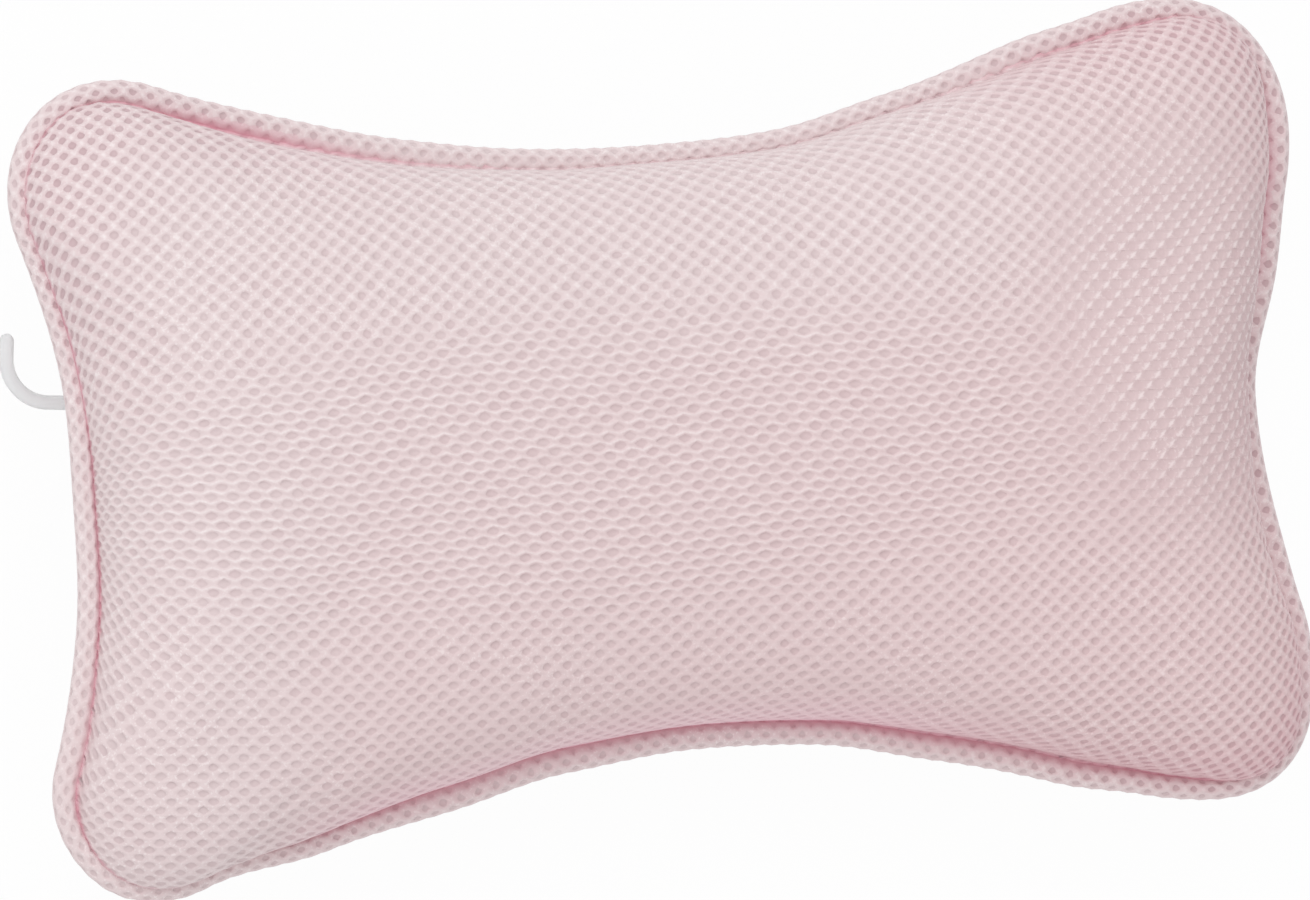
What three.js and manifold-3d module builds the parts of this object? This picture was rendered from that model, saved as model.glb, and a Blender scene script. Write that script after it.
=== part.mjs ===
// Bath pillow: a bone-shaped cushion of open spacer mesh with soft fill, piped all round its seam.
// A webbing tab sewn to each end of the back holds a suction cup, and each cup carries a hook.
// Millimetres. +Z points out of the cushion's front, +X runs along its length, +Y is its upper side.
// The lips of the suction cups lie on Z = 0, and the origin is below the cushion's middle.
import * as THREE from 'three';
import { mergeVertices } from 'three/addons/utils/BufferGeometryUtils.js';
import Module from 'manifold-3d';

const wasm = await Module();
wasm.setup();

// Cushion outline, measured over the piping
const LENGTH = 336;
const HEIGHT = 204;
const WAIST_HEIGHT = 152;
const END_DIP = 11.8;
const LEFT_LOBE_RADIUS = 28.5;
const RIGHT_LOBE_RADIUS = 36.5;

// Crown of the two faces above the seam, and how blunt the sides are: 2 is an ellipse. The stuffing fills
// the lobes less hard than the sides, so the faces rise more gently within LOBE_REACH of a lobe's middle.
const FRONT_CROWN = 36;
const BACK_CROWN = 28;
const SIDE_BLUNTNESS = 2.5;
const LOBE_BLUNTNESS = 1.9;
const LOBE_REACH = 55;
const RIDGE_LENGTH = 190;
const RIDGE_EASE = 1.5;
const MESH_THICKNESS = 3.5;

// Piping: a folded strip of mesh round a cord, with its two layers caught in the seam
const PIPING_DIAMETER = 5.6;
const PIPING_WALL = 0.8;
const SEAM_ALLOWANCE = 5;
const STRIP_SLIT = 0.4;

// Suction cups and where they sit on the back: CUP_INSET is from the cushion's end to the cup's axis
const CUP_INSET = 63;
const CUP_RAISE = 18;
const CUP_DIAMETER = 56;
const CUP_HEIGHT = 10;
const CUP_HOLLOW = 6.5;
const LIP_WIDTH = 5;
const LIP_THICKNESS = 1.2;
const SHOULDER_DIAMETER = 16;
const NECK_DIAMETER = 9;
const HEAD_DIAMETER = 14;
const HEAD_HEIGHT = 3.2;

// Hooks: a round rod with an eye on the cup's neck, turned up at its end
const ROD_DIAMETER = 3.6;
const HOOK_ARM = 45.3;
const HOOK_BEND_RADIUS = 11;
const HOOK_TIP = 4;
const HOOK_TILT = 5.8;

// Webbing tabs, sewn flat at both ends and standing off the back in the middle
const TAB_WIDTH = 25;
const TAB_LENGTH = 62;
const TAB_THICKNESS = 1.3;
const TAB_SEWN_LENGTH = 11;
const TAB_FLAT_LENGTH = 22;

// Gap between neighbouring pieces
const CLEARANCE = 0.3;

// Fineness of the round stretches
const LOBE_STEPS = 8;
const LONG_SIDE_STEPS = 6;
const END_STEPS = 3;
const CROWN_RINGS = 7;
const PIPING_STEPS = 8;
const CORD_STEPS = 6;
const TURN_STEPS = 28;
const ROD_STEPS = 10;
const BEND_STEPS = 24;
const PROFILE_STEPS = 6;
const TAB_COLUMNS = 4;
const TAB_ROWS = 18;

// Sizes worked out from the ones above
const STRIP_HALF = STRIP_SLIT / 2 + PIPING_WALL;
const RIM_Z = STRIP_HALF + CLEARANCE;
const STRIP_END = PIPING_DIAMETER + SEAM_ALLOWANCE;
const CORD_RADIUS = PIPING_DIAMETER / 2 - PIPING_WALL - CLEARANCE;
const EYE_Z = CUP_HEIGHT + CLEARANCE + ROD_DIAMETER / 2;
const TAB_Z = CUP_HEIGHT + ROD_DIAMETER + 2 * CLEARANCE;
const HEAD_Z = TAB_Z + TAB_THICKNESS + CLEARANCE;
const BELLY_Z = HEAD_Z + HEAD_HEIGHT + CLEARANCE;
const SEAM_Z = BELLY_Z + BACK_CROWN + RIM_Z;
const EYE_RADIUS = NECK_DIAMETER / 2 + CLEARANCE + ROD_DIAMETER / 2;

// Surface finishes
const finish = (color, roughness) => new THREE.MeshStandardMaterial({ color, roughness, metalness: 0 });
const meshPink = () => finish(0xe3cdce, 0.9);
const pipingPink = () => finish(0xdfc6c8, 0.9);
const cordWhite = () => finish(0xe9e4df, 0.85);
const fillWhite = () => finish(0xf4f2ee, 0.95);
const webbingPink = () => finish(0xe0c4c6, 0.85);
const clearPvc = () => finish(0xe6eaec, 0.15);
const frostedPlastic = () => finish(0xe9eaeb, 0.3);

// A closed geometry with merged corners whose faces point out
function closedSolid(geometry) {
  geometry.deleteAttribute('normal');
  geometry.deleteAttribute('uv');
  const merged = mergeVertices(geometry, 1e-4);
  const place = merged.attributes.position;
  const index = Array.from(merged.index.array);
  const corner = (i) => new THREE.Vector3().fromBufferAttribute(place, i);
  let volume = 0;
  for (let i = 0; i < index.length; i += 3) {
    volume += corner(index[i]).dot(corner(index[i + 1]).cross(corner(index[i + 2])));
  }
  if (volume < 0) index.reverse();
  merged.setIndex(index);
  return merged;
}

function toManifold(geometry) {
  const closed = closedSolid(geometry);
  const vertProperties = new Float32Array(closed.attributes.position.array);
  const triVerts = new Uint32Array(closed.index.array);
  return new wasm.Manifold(new wasm.Mesh({ numProp: 3, vertProperties, triVerts }));
}

function fromManifold(solid) {
  const { vertProperties, triVerts } = solid.getMesh();
  const geometry = new THREE.BufferGeometry();
  geometry.setAttribute('position', new THREE.BufferAttribute(vertProperties, 3));
  geometry.setIndex(new THREE.BufferAttribute(triVerts, 1));
  return geometry;
}

// Surface through a row of rings that all have the same number of points
function skin(rings) {
  const count = rings[0].length;
  const index = [];
  for (let r = 0; r < rings.length - 1; r += 1) {
    for (let i = 0; i < count; i += 1) {
      const here = r * count + i;
      const next = r * count + ((i + 1) % count);
      index.push(here, next, next + count, here, next + count, here + count);
    }
  }
  const geometry = new THREE.BufferGeometry().setFromPoints(rings.flat());
  geometry.setIndex(index);
  return closedSolid(geometry);
}

// Points of an arc with the outward direction at each: towards the arc's centre on a hollow side
function arc(centreX, centreY, radius, from, to, steps, hollow) {
  const side = hollow ? -1 : 1;
  return Array.from({ length: steps + 1 }, (_, i) => {
    const angle = from + ((to - from) * i) / steps;
    const outX = Math.cos(angle);
    const outY = Math.sin(angle);
    return { x: centreX + radius * outX, y: centreY + radius * outY, outX: side * outX, outY: side * outY };
  });
}

// How far out the centre of a hollow arc lies that touches a lobe and passes through a waist
function hollowCentre(along, out, waist, lobeRadius) {
  const reach = waist - lobeRadius;
  return (along ** 2 + out ** 2 - reach ** 2) / (2 * (out - reach));
}

// A quarter of the outline, from the middle of an end, round the lobe, to the middle of a long side
function quarterOutline(lobeRadius) {
  const lobeX = LENGTH / 2 - lobeRadius;
  const lobeY = HEIGHT / 2 - lobeRadius;
  const endWaist = LENGTH / 2 - END_DIP;
  const longWaist = WAIST_HEIGHT / 2;
  const endX = hollowCentre(lobeY, lobeX, endWaist, lobeRadius);
  const longY = hollowCentre(lobeX, lobeY, longWaist, lobeRadius);
  const endTurn = Math.atan2(lobeY, lobeX - endX);
  const longTurn = Math.atan2(lobeY - longY, lobeX);
  const end = arc(endX, 0, endX - endWaist, Math.PI, endTurn, END_STEPS, true);
  const lobe = arc(lobeX, lobeY, lobeRadius, endTurn - Math.PI, longTurn + Math.PI, LOBE_STEPS, false);
  const long = arc(0, longY, longY - longWaist, longTurn, -Math.PI / 2, LONG_SIDE_STEPS, true);
  return withCrown([...end.slice(0, -1), ...lobe.slice(0, -1), ...long], END_STEPS + LOBE_STEPS / 2);
}

// Each outline point looks to its own point on the ridge that runs along the middle of the cushion, and
// has the bluntness of the crown above it
function withCrown(points, lobeMiddle) {
  let travelled = 0;
  const lengths = points.map((p, i) => {
    if (i > 0) travelled += Math.hypot(p.x - points[i - 1].x, p.y - points[i - 1].y);
    return travelled;
  });
  return points.map((p, i) => {
    const share = lengths[i] / travelled;
    const ridgeX = (RIDGE_LENGTH / 2) * (1 - share ** RIDGE_EASE);
    const lobeShare = Math.exp(-(((lengths[i] - lengths[lobeMiddle]) / LOBE_REACH) ** 2));
    const bluntness = THREE.MathUtils.lerp(SIDE_BLUNTNESS, LOBE_BLUNTNESS, lobeShare);
    return { ...p, ridgeX, bluntness };
  });
}

function mirrored(points, signX, signY) {
  return points.map((p) => ({
    x: p.x * signX,
    y: p.y * signY,
    outX: p.outX * signX,
    outY: p.outY * signY,
    ridgeX: p.ridgeX * signX,
    bluntness: p.bluntness,
  }));
}

const rightQuarter = quarterOutline(RIGHT_LOBE_RADIUS);
const leftQuarter = quarterOutline(LEFT_LOBE_RADIUS);
const outline = [
  ...rightQuarter.slice(0, -1),
  ...mirrored(leftQuarter, -1, 1).reverse().slice(0, -1),
  ...mirrored(leftQuarter, -1, -1).slice(0, -1),
  ...mirrored(rightQuarter, 1, -1).reverse().slice(0, -1),
];

// The outline drawn in from the seam's outer edge, then part of the way to the ridge, at its own heights
function ring(inset, share, heightOf) {
  return outline.map((p) => {
    const x = THREE.MathUtils.lerp(p.x - p.outX * inset, p.ridgeX, share);
    const y = THREE.MathUtils.lerp(p.y - p.outY * inset, 0, share);
    return new THREE.Vector3(x, y, heightOf(p));
  });
}

// Rings of a crowned face from its rim to the ridge
function crown(inset, rimZ, height) {
  return Array.from({ length: CROWN_RINGS + 1 }, (_, i) => {
    const share = 1 - Math.cos((i / CROWN_RINGS) * (Math.PI / 2));
    const rise = (p) => (1 - (1 - share) ** p.bluntness) ** (1 / p.bluntness);
    return ring(inset, share, (p) => rimZ + height * rise(p));
  });
}

// One face of the cover: a crowned bowl of mesh with a flat sewn rim, above or below the seam
function panel(side, crownHeight) {
  const outer = crown(PIPING_DIAMETER, side * RIM_Z, side * crownHeight);
  const inner = crown(PIPING_DIAMETER + MESH_THICKNESS, side * RIM_Z, side * (crownHeight - MESH_THICKNESS));
  return skin([...outer.reverse(), ...inner]);
}

// The stuffing fills the cover up to the seam allowance
function fillCore() {
  const inset = STRIP_END + CLEARANCE;
  const skinGap = MESH_THICKNESS + CLEARANCE;
  const front = crown(inset, RIM_Z, FRONT_CROWN - skinGap);
  const back = crown(inset, -RIM_Z, skinGap - BACK_CROWN);
  return skin([...front.reverse(), ...back]);
}

// Folded strip: a tube open along its inner side, whose two edges run in between the panels
function pipingCover() {
  const outerRadius = PIPING_DIAMETER / 2;
  const innerRadius = outerRadius - PIPING_WALL;
  const outerOpen = Math.asin(STRIP_HALF / outerRadius);
  const innerOpen = Math.asin(STRIP_SLIT / 2 / innerRadius);
  const outside = arc(outerRadius, 0, outerRadius, outerOpen, 2 * Math.PI - outerOpen, PIPING_STEPS, false);
  const inside = arc(outerRadius, 0, innerRadius, 2 * Math.PI - innerOpen, innerOpen, CORD_STEPS, false);
  const section = [
    { x: STRIP_END, y: STRIP_HALF },
    ...outside,
    { x: STRIP_END, y: -STRIP_HALF },
    { x: STRIP_END, y: -STRIP_SLIT / 2 },
    ...inside,
    { x: STRIP_END, y: STRIP_SLIT / 2 },
  ];
  const rings = section.map((p) => ring(p.x, 0, () => p.y));
  return skin([...rings, rings[0]]);
}

function pipingCord() {
  const section = arc(PIPING_DIAMETER / 2, 0, CORD_RADIUS, 0, 2 * Math.PI, CORD_STEPS, false);
  return skin(section.map((p) => ring(p.x, 0, () => p.y)));
}

// Height of the back panel's outer face over a point of the back
function backFace(backPanel, x, y) {
  const below = new THREE.Vector3(x, y, -2 * BACK_CROWN);
  const ray = new THREE.Raycaster(below, new THREE.Vector3(0, 0, 1));
  return ray.intersectObject(backPanel)[0].point.z;
}

// Webbing that follows the back at its sewn ends and drops to the cup's neck in the middle
function webbingTab(backPanel, centreX) {
  const slab = new THREE.BoxGeometry(TAB_WIDTH, TAB_LENGTH, TAB_THICKNESS, TAB_COLUMNS, TAB_ROWS, 1);
  const place = slab.attributes.position;
  const flatTop = TAB_Z + TAB_THICKNESS - SEAM_Z;
  const sewnFrom = TAB_LENGTH / 2 - TAB_SEWN_LENGTH;
  for (let i = 0; i < place.count; i += 1) {
    const x = place.getX(i) + centreX;
    const y = place.getY(i) + CUP_RAISE;
    const sewn = THREE.MathUtils.smoothstep(Math.abs(place.getY(i)), TAB_FLAT_LENGTH / 2, sewnFrom);
    const seat = backFace(backPanel, x, y) - CLEARANCE;
    const top = THREE.MathUtils.lerp(flatTop, seat, sewn);
    place.setXYZ(i, x, y, top + place.getZ(i) - TAB_THICKNESS / 2);
  }
  const holeRadius = NECK_DIAMETER / 2 + CLEARANCE;
  const punch = new THREE.CylinderGeometry(holeRadius, holeRadius, BACK_CROWN, TURN_STEPS);
  punch.rotateX(Math.PI / 2);
  punch.translate(centreX, CUP_RAISE, flatTop);
  return fromManifold(toManifold(slab).subtract(toManifold(punch)));
}

function curvePoints(fromX, fromY, pullX, pullY, toX, toY) {
  const start = new THREE.Vector2(fromX, fromY);
  const pull = new THREE.Vector2(pullX, pullY);
  const end = new THREE.Vector2(toX, toY);
  return new THREE.QuadraticBezierCurve(start, pull, end).getPoints(PROFILE_STEPS);
}

// Suction cup turned about its axis: a hollow bell with a flat lip, a neck and a mushroom head
function suctionCup() {
  const cupRadius = CUP_DIAMETER / 2;
  const lipRadius = cupRadius - LIP_WIDTH;
  const shoulder = SHOULDER_DIAMETER / 2;
  const neck = NECK_DIAMETER / 2;
  const head = HEAD_DIAMETER / 2;
  const bellPull = (cupRadius + shoulder) / 2 - LIP_THICKNESS;
  const bellPullZ = CUP_HEIGHT - CUP_HOLLOW;
  const hollow = curvePoints(0, CUP_HOLLOW, bellPull - LIP_WIDTH / 2, CUP_HOLLOW, lipRadius, 0);
  const bell = curvePoints(cupRadius, LIP_THICKNESS, bellPull, bellPullZ, shoulder, CUP_HEIGHT);
  const crownTop = HEAD_Z + HEAD_HEIGHT;
  const profile = [
    ...hollow,
    new THREE.Vector2(cupRadius, 0),
    ...bell,
    new THREE.Vector2(neck, CUP_HEIGHT),
    new THREE.Vector2(neck, HEAD_Z),
    ...curvePoints(head, HEAD_Z, head, crownTop, 0, crownTop),
  ];
  const turned = new THREE.LatheGeometry(profile, TURN_STEPS);
  turned.rotateX(Math.PI / 2);
  return closedSolid(turned);
}

// Quarter turn of the hook's rod from its arm, which runs along -X, to its tip, which points to +Y
class HookBend extends THREE.Curve {
  getPoint(share, target = new THREE.Vector3()) {
    const angle = -(share * Math.PI) / 2;
    const x = -HOOK_ARM + HOOK_BEND_RADIUS * Math.sin(angle);
    const y = HOOK_BEND_RADIUS * (1 - Math.cos(angle));
    return target.set(x, y, 0);
  }
}

function rodAlong(path, steps) {
  const section = new THREE.Shape().absarc(0, 0, ROD_DIAMETER / 2, 0, 2 * Math.PI);
  const settings = { steps, extrudePath: path, curveSegments: ROD_STEPS / 2, bevelEnabled: false };
  return new THREE.ExtrudeGeometry(section, settings);
}

// Hook about its eye: the arm leaves the eye along -X
function hook() {
  const bend = new HookBend();
  const tipX = -HOOK_ARM - HOOK_BEND_RADIUS;
  const tipY = HOOK_BEND_RADIUS + HOOK_TIP;
  const path = new THREE.CurvePath();
  path.add(new THREE.LineCurve3(new THREE.Vector3(-EYE_RADIUS, 0, 0), bend.getPoint(0)));
  path.add(bend);
  path.add(new THREE.LineCurve3(bend.getPoint(1), new THREE.Vector3(tipX, tipY, 0)));
  const eye = new THREE.TorusGeometry(EYE_RADIUS, ROD_DIAMETER / 2, ROD_STEPS, TURN_STEPS);
  const tip = new THREE.SphereGeometry(ROD_DIAMETER / 2, ROD_STEPS, PROFILE_STEPS);
  tip.rotateX(Math.PI / 2);
  tip.translate(tipX, tipY, 0);
  const rod = toManifold(rodAlong(path, BEND_STEPS));
  return fromManifold(rod.add(toManifold(eye)).add(toManifold(tip)));
}

function named(name, geometry, material) {
  const mesh = new THREE.Mesh(geometry, material);
  mesh.name = name;
  return mesh;
}

// Cushion, built about its seam
const cushion = new THREE.Group();
cushion.position.z = SEAM_Z;
const backPanel = named('back_panel', panel(-1, BACK_CROWN), meshPink());
cushion.add(
  named('front_panel', panel(1, FRONT_CROWN), meshPink()),
  backPanel,
  named('piping_cover', pipingCover(), pipingPink()),
  named('piping_cord', pipingCord(), cordWhite()),
  named('fill_core', fillCore(), fillWhite()),
);

// Tab, cup and hook of each end: the right end mirrors the left
const pillow = new THREE.Group();
const ends = [
  { end: 'left', side: -1 },
  { end: 'right', side: 1 },
];
for (const { end, side } of ends) {
  const cupX = side * (LENGTH / 2 - CUP_INSET);
  cushion.add(named(`${end}_tab`, webbingTab(backPanel, cupX), webbingPink()));
  const stack = new THREE.Group();
  stack.position.set(cupX, CUP_RAISE, 0);
  const turned = named(`${end}_hook`, hook(), frostedPlastic());
  turned.position.z = EYE_Z;
  turned.rotation.y = side > 0 ? Math.PI : 0;
  turned.rotation.order = 'ZYX';
  turned.rotation.z = side * THREE.MathUtils.degToRad(HOOK_TILT);
  stack.add(named(`${end}_suction_cup`, suctionCup(), clearPvc()), turned);
  pillow.add(stack);
}
pillow.add(cushion);

export default pillow;
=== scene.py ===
import math
from contextlib import contextmanager

import bmesh
import bpy
import numpy as np
from mathutils import Matrix, Vector
from mathutils.bvhtree import BVHTree


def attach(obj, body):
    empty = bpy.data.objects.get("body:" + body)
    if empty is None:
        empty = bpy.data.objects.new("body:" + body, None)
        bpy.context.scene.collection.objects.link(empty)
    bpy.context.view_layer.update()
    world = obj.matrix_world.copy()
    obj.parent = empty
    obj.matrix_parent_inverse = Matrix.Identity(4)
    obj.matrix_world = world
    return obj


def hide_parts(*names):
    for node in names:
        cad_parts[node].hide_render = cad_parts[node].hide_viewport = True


# Bath pillow: two stuffed panels of open spacer mesh, joined by a piped seam, with a webbing tab, a clear
# suction cup and a frosted hook at each end of the back. Metres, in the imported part's own frame.
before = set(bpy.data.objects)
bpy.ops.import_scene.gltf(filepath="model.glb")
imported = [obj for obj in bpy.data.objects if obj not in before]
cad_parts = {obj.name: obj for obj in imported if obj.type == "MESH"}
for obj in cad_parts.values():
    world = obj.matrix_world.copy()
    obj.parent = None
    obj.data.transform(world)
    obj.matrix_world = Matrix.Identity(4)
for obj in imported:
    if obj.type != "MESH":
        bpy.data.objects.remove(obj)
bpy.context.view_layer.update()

# Outline over the piping: a bone with four lobes, hollow long sides and hollow ends
LENGTH = 0.336
HEIGHT = 0.204
WAIST_HEIGHT = 0.152
END_DIP = 0.0118
LEFT_LOBE_RADIUS = 0.0285
RIGHT_LOBE_RADIUS = 0.0365

# Seam plane, crowns of the two faces and how blunt their sides are
SEAM_Z = 0.0486
FRONT_CROWN = 0.0373
BACK_CROWN = 0.0293
SIDE_BLUNTNESS = 2.5
LOBE_BLUNTNESS = 1.9
LOBE_REACH = 0.055
RIDGE_LENGTH = 0.190
RIDGE_EASE = 1.5
RIM_Z = 0.0012
PIPING_RADIUS = 0.0028
PANEL_INSET = 0.0047
FLANGE_RINGS = 4
FLANGE_RISE = 0.2
LEAST_FLANGE = 0.0002
OUTLINE_POINTS = 240
CROWN_RINGS = 26
REFINE = 3
QUARTER_POINTS = 160
PATH_POINTS = 2400

# Columns of the seam outline, after its place and its outward direction
RIDGE, LOBE, FLUSH, SHOWN, FAINT = range(4, 9)

# How far the stuffing pushes the seam out, in millimetres, at even steps round it from the right end
SEAM_PUSH = (-1.5, 3.0, 0.2, 1.1, -1.3, 1.9, 0.9, -1.1, -0.6, -0.6, -0.2, 0.4, -0.1, 1.6, 0.4, -0.2,
             1.0, 0.0, -0.1, -1.2, -2.6, 1.6, 2.5, 0.2, -1.0, -0.9, 1.0, 1.1, -2.8, 1.2, -2.6, -1.0)

# How far in from its seam the panel rises, in millimetres, at the same steps. A larger one shows more of the
# piping, and below 0 the panel laps over it.
PIPING_SHOWN = (1.4, 3.6, 3.0, -1.0, 1.6, 2.0, 0.6, 0.5, 0.5, 1.4, 2.4, 2.8, 1.8, -1.0, -1.8, -1.4,
                0.2, 0.6, 1.7, -0.6, -1.1, 0.8, 2.5, 2.4, 1.8, 1.8, 2.4, 2.5, 1.3, -1.0, 1.5, 3.2)

# Where the panel is drawn up flush with the piping: share of the way round, and reach either way
FLUSH_PLACES = ((0.100, 0.020), (0.230, 0.110), (0.618, 0.034), (0.912, 0.030))
FLUSH_Z = 0.0021
FLUSH_LAP = 0.0006

# Where the seam's painted shade is faint, or stronger if below 0: share of the way round, reach either way
# in metres, and how faint
PALE_PLACES = ((0.230, 0.090, 0.2), (0.985, 0.045, 0.5), (0.415, 0.040, 0.4), (0.335, 0.050, -0.4),
               (0.042, 0.022, -0.3), (0.825, 0.050, -0.2), (0.145, 0.020, -0.2))

# Stuffing pressure of the cloth simulation, its length, and how far it may push a point
STUFFING_PRESSURE = 4.0
STUFFING_FRAMES = 20
STUFFING_QUALITY = 6
STUFFING_REACH = 0.006

# Spacer mesh: pitch of the holes along a row, gap between staggered rows and the holes themselves, where the
# cloth is drawn taut, where it is stretched smooth so that its knots stand out, and depths of yarn and hole
SPACER_MESH = {
    "Cell length": 0.00570,
    "Row gap": 0.00238,
    "Hole length": 0.0038,
    "Hole height": 0.0022,
    "Hole point": 0.35,
    "Round share": 0.72,
    "Left share": 0.88,
    "Round rise": 1.10,
    "Hole jitter": 0.00028,
    "Taut middle along": -0.030,
    "Taut along": 0.150,
    "Taut up": 0.034,
    "Smooth middle along": 0.130,
    "Smooth middle up": 0.022,
    "Smooth along": 0.045,
    "Smooth up": 0.055,
    "Smooth hole share": 0.3,
    "Knot lift": 0.00022,
    "Knot lean": 0.0009,
    "Yarn wave": 0.0004,
    "Yarn rise": 0.00018,
    "Slit depth": 0.00010,
    "Rim drop": 0.00006,
    "Recess depth": 0.00034,
    "Floor share": 0.74,
    "Weld gap": 2e-5,
}
FABRIC_WANDER = 0.00035
CORNER_SLACK = 1.2
SHEET_MARGIN = 1.15

# How deep a point of a cell lies: 0 on a yarn's crest, 1 on a hole's floor
KNOT = 0.25
RIM = 0.5

# Parts of the flat mesh, from and to: longer holes at the lower left, and flatter yarn at the bottom
LONG_HOLE_ALONG = (-0.04, -0.10)
LONG_HOLE_UP = (0.02, -0.04)
FLAT_CUT_ALONG = (0.10, 0.05)
FLAT_CUT_UP = (-0.03, -0.065)

# How far from the seam its painted shade reaches, with the painted shade beside the lower seam and along the
# edge
SEAM_SHADE_WIDTH = 0.0020
SEAM_HIDDEN = 0.0008
SEAM_FLAT_WIDTH = 0.0016
LOW_SEAM_SHADE_WIDTH = 0.026
EDGE_SHADE_WIDTH = 0.05

# Parts of the cushion, from and to: the lit top and left side, where the painted shade is lessened, the flatter
# bottom with fewer painted highlights, the outer parts with more painted shade in the holes, and where the
# painted shade beside the lower seam starts, ends to the left and deepens to the right
TOP_LIT_UP = (0.015, 0.055)
TOP_LIT_ASIDE = (0.05, 0.12)
LEFT_LIT_ALONG = (-0.085, -0.135)
LEFT_LIT_UP = (0.065, 0.0)
FLAT_UP = (-0.025, -0.055)
FLAT_ALONG = (0.10, 0.05)
SHADED_HOLE_ASIDE = (0.05, 0.14)
LOW_SEAM_SHADE_UP = (-0.03, -0.075)
LOW_SEAM_SHADE_LEFT_END = (-0.085, -0.120)
LOW_SEAM_SHADE_DEEPER_ALONG = (0.03, 0.10)

# Piping strip: the same mesh, a little closer and nowhere taut or smooth, wrapped round the cord
STRIP_CELL_LENGTH = 0.0048
STRIP_ROWS = 8
STRIP_MESH = {
    "Hole length": 0.0031,
    "Hole height": 0.0017,
    "Left share": SPACER_MESH["Round share"],
    "Taut along": 1e-6,
    "Smooth along": 1e-6,
    "Recess depth": 0.00030,
}

# By distance from the strip's own seam: its painted shade, its flat part and how far it is pressed in
STRIP_SHADE_EASE = 0.0003
STRIP_SHADE_FROM = 0.0010
STRIP_SHADE_TO = 0.0040
STRIP_PALE_FROM = 0.0056
STRIP_FLAT_FROM = 0.0014
STRIP_FLAT_TO = 0.0038
STRIP_PRESS_FROM = 0.0006
STRIP_PRESS_SHARE = 0.9
STRIP_PALE_EDGE = 0.034
STRIP_BANDS = 8

# Filler cord, and the stuffing under the mesh
CORD_RADIUS = 0.0017
CORD_TWIST = 0.009
CORD_STEPS = 900
CORD_SIDES = 15
FABRIC_THICKNESS = 0.0038
STUFFING_WELD = 0.0004

# Suction cups, hooks and tabs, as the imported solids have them
CUP_X = 0.105
CUP_Y = 0.018
CUP_RADIUS = 0.028
CUP_HEIGHT = 0.010
CUP_HOLLOW = 0.0065
LIP_WIDTH = 0.005
LIP_THICKNESS = 0.0012
SHOULDER_RADIUS = 0.008
NECK_RADIUS = 0.0045
HEAD_RADIUS = 0.007
HEAD_Z = 0.0158
HEAD_HEIGHT = 0.0032
EYE_Z = 0.0121
EYE_RADIUS = 0.0066
ROD_RADIUS = 0.0018
HOOK_ARM = 0.0453
HOOK_BEND_RADIUS = 0.011
HOOK_TIP = 0.004
HOOK_TILT = math.radians(5.8)
TAB_WIDTH = 0.025
TAB_LENGTH = 0.062
TAB_THICKNESS = 0.0013
TAB_SEWN_LENGTH = 0.011
TAB_FLAT_LENGTH = 0.022
TAB_Z = 0.0142
TAB_GAP = 0.0003
TAB_HOLE_RADIUS = 0.0048
TAB_GRID = 0.0005
WEBBING_RIB = 0.0021
WEBBING_PICK = 0.0016
WEBBING_RELIEF = 0.0002
STITCH_PITCH = 0.0027
STITCH_LENGTH = 0.0023
THREAD_WIDTH = 0.00055
STITCH_MARGIN = 0.0022
STITCH_SINK = 0.00015
RING_STITCH_STEPS = 48
CUP_TURNS = 96
CUP_EDGE_RADIUS = 0.0005
EYE_STEPS = 72
ROD_SIDES = 24
HOOK_VOXEL = 0.00028

# The floor lies just under the cups' lips
FLOOR_REACH = 6.0
FLOOR_Z = -0.0004
WORLD_STRENGTH = 0.678


# Helpers for objects and node trees

def new_object(name, mesh):
    piece = bpy.data.objects.new(name, mesh)
    bpy.context.scene.collection.objects.link(piece)
    return piece


def new_mesh(name, points, faces):
    mesh = bpy.data.meshes.new(name)
    mesh.from_pydata([tuple(p) for p in points], [], faces)
    mesh.update()
    return mesh


def vertex_array(mesh):
    place = np.zeros(len(mesh.vertices) * 3)
    mesh.vertices.foreach_get("co", place)
    return place.reshape(-1, 3)


def shade_smooth(mesh):
    mesh.polygons.foreach_set("use_smooth", [True] * len(mesh.polygons))
    mesh.update()


@contextmanager
def reshaped(mesh):
    """The mesh's shell, which is written back when the work on it is done."""
    shell = bmesh.new()
    shell.from_mesh(mesh)
    yield shell
    shell.to_mesh(mesh)
    shell.free()


def evaluated(carrier):
    """The plain mesh that a carrier's modifiers make. The carrier is removed."""
    depsgraph = bpy.context.evaluated_depsgraph_get()
    mesh = bpy.data.meshes.new_from_object(carrier.evaluated_get(depsgraph))
    bpy.data.objects.remove(carrier)
    return mesh


def set_values(mesh, name, values):
    mesh.attributes.new(name, "FLOAT", "POINT").data.foreach_set("value", values)


def corner_points(mesh):
    """Index of the point at every corner of every face."""
    corner = np.zeros(len(mesh.loops), dtype=int)
    mesh.loops.foreach_get("vertex_index", corner)
    return corner


def set_bake_map(mesh, on_map):
    """Makes the map that the export bakes on, from a place for every corner."""
    for old in list(mesh.uv_layers):
        mesh.uv_layers.remove(old)
    mesh.uv_layers.new(name="OFBake").data.foreach_set("uv", on_map.ravel())


def full_turn(count):
    return np.arange(count) * 2 * math.pi / count


def set_inputs(tree, node, values):
    for socket, value in zip(node.inputs, values):
        if isinstance(value, bpy.types.NodeSocket):
            tree.links.new(value, socket)
        elif value is not None:
            socket.default_value = value


def add(tree, kind, *values, **settings):
    node = tree.nodes.new(kind)
    for name, value in settings.items():
        setattr(node, name, value)
    set_inputs(tree, node, values)
    return node


def maths(tree, operation, *values):
    return add(tree, "ShaderNodeMath", *values, operation=operation).outputs[0]


def times(tree, *values):
    product = values[0]
    for value in values[1:]:
        product = maths(tree, "MULTIPLY", product, value)
    return product


def vector(tree, operation, *values):
    return add(tree, "ShaderNodeVectorMath", *values, operation=operation).outputs[0]


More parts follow.
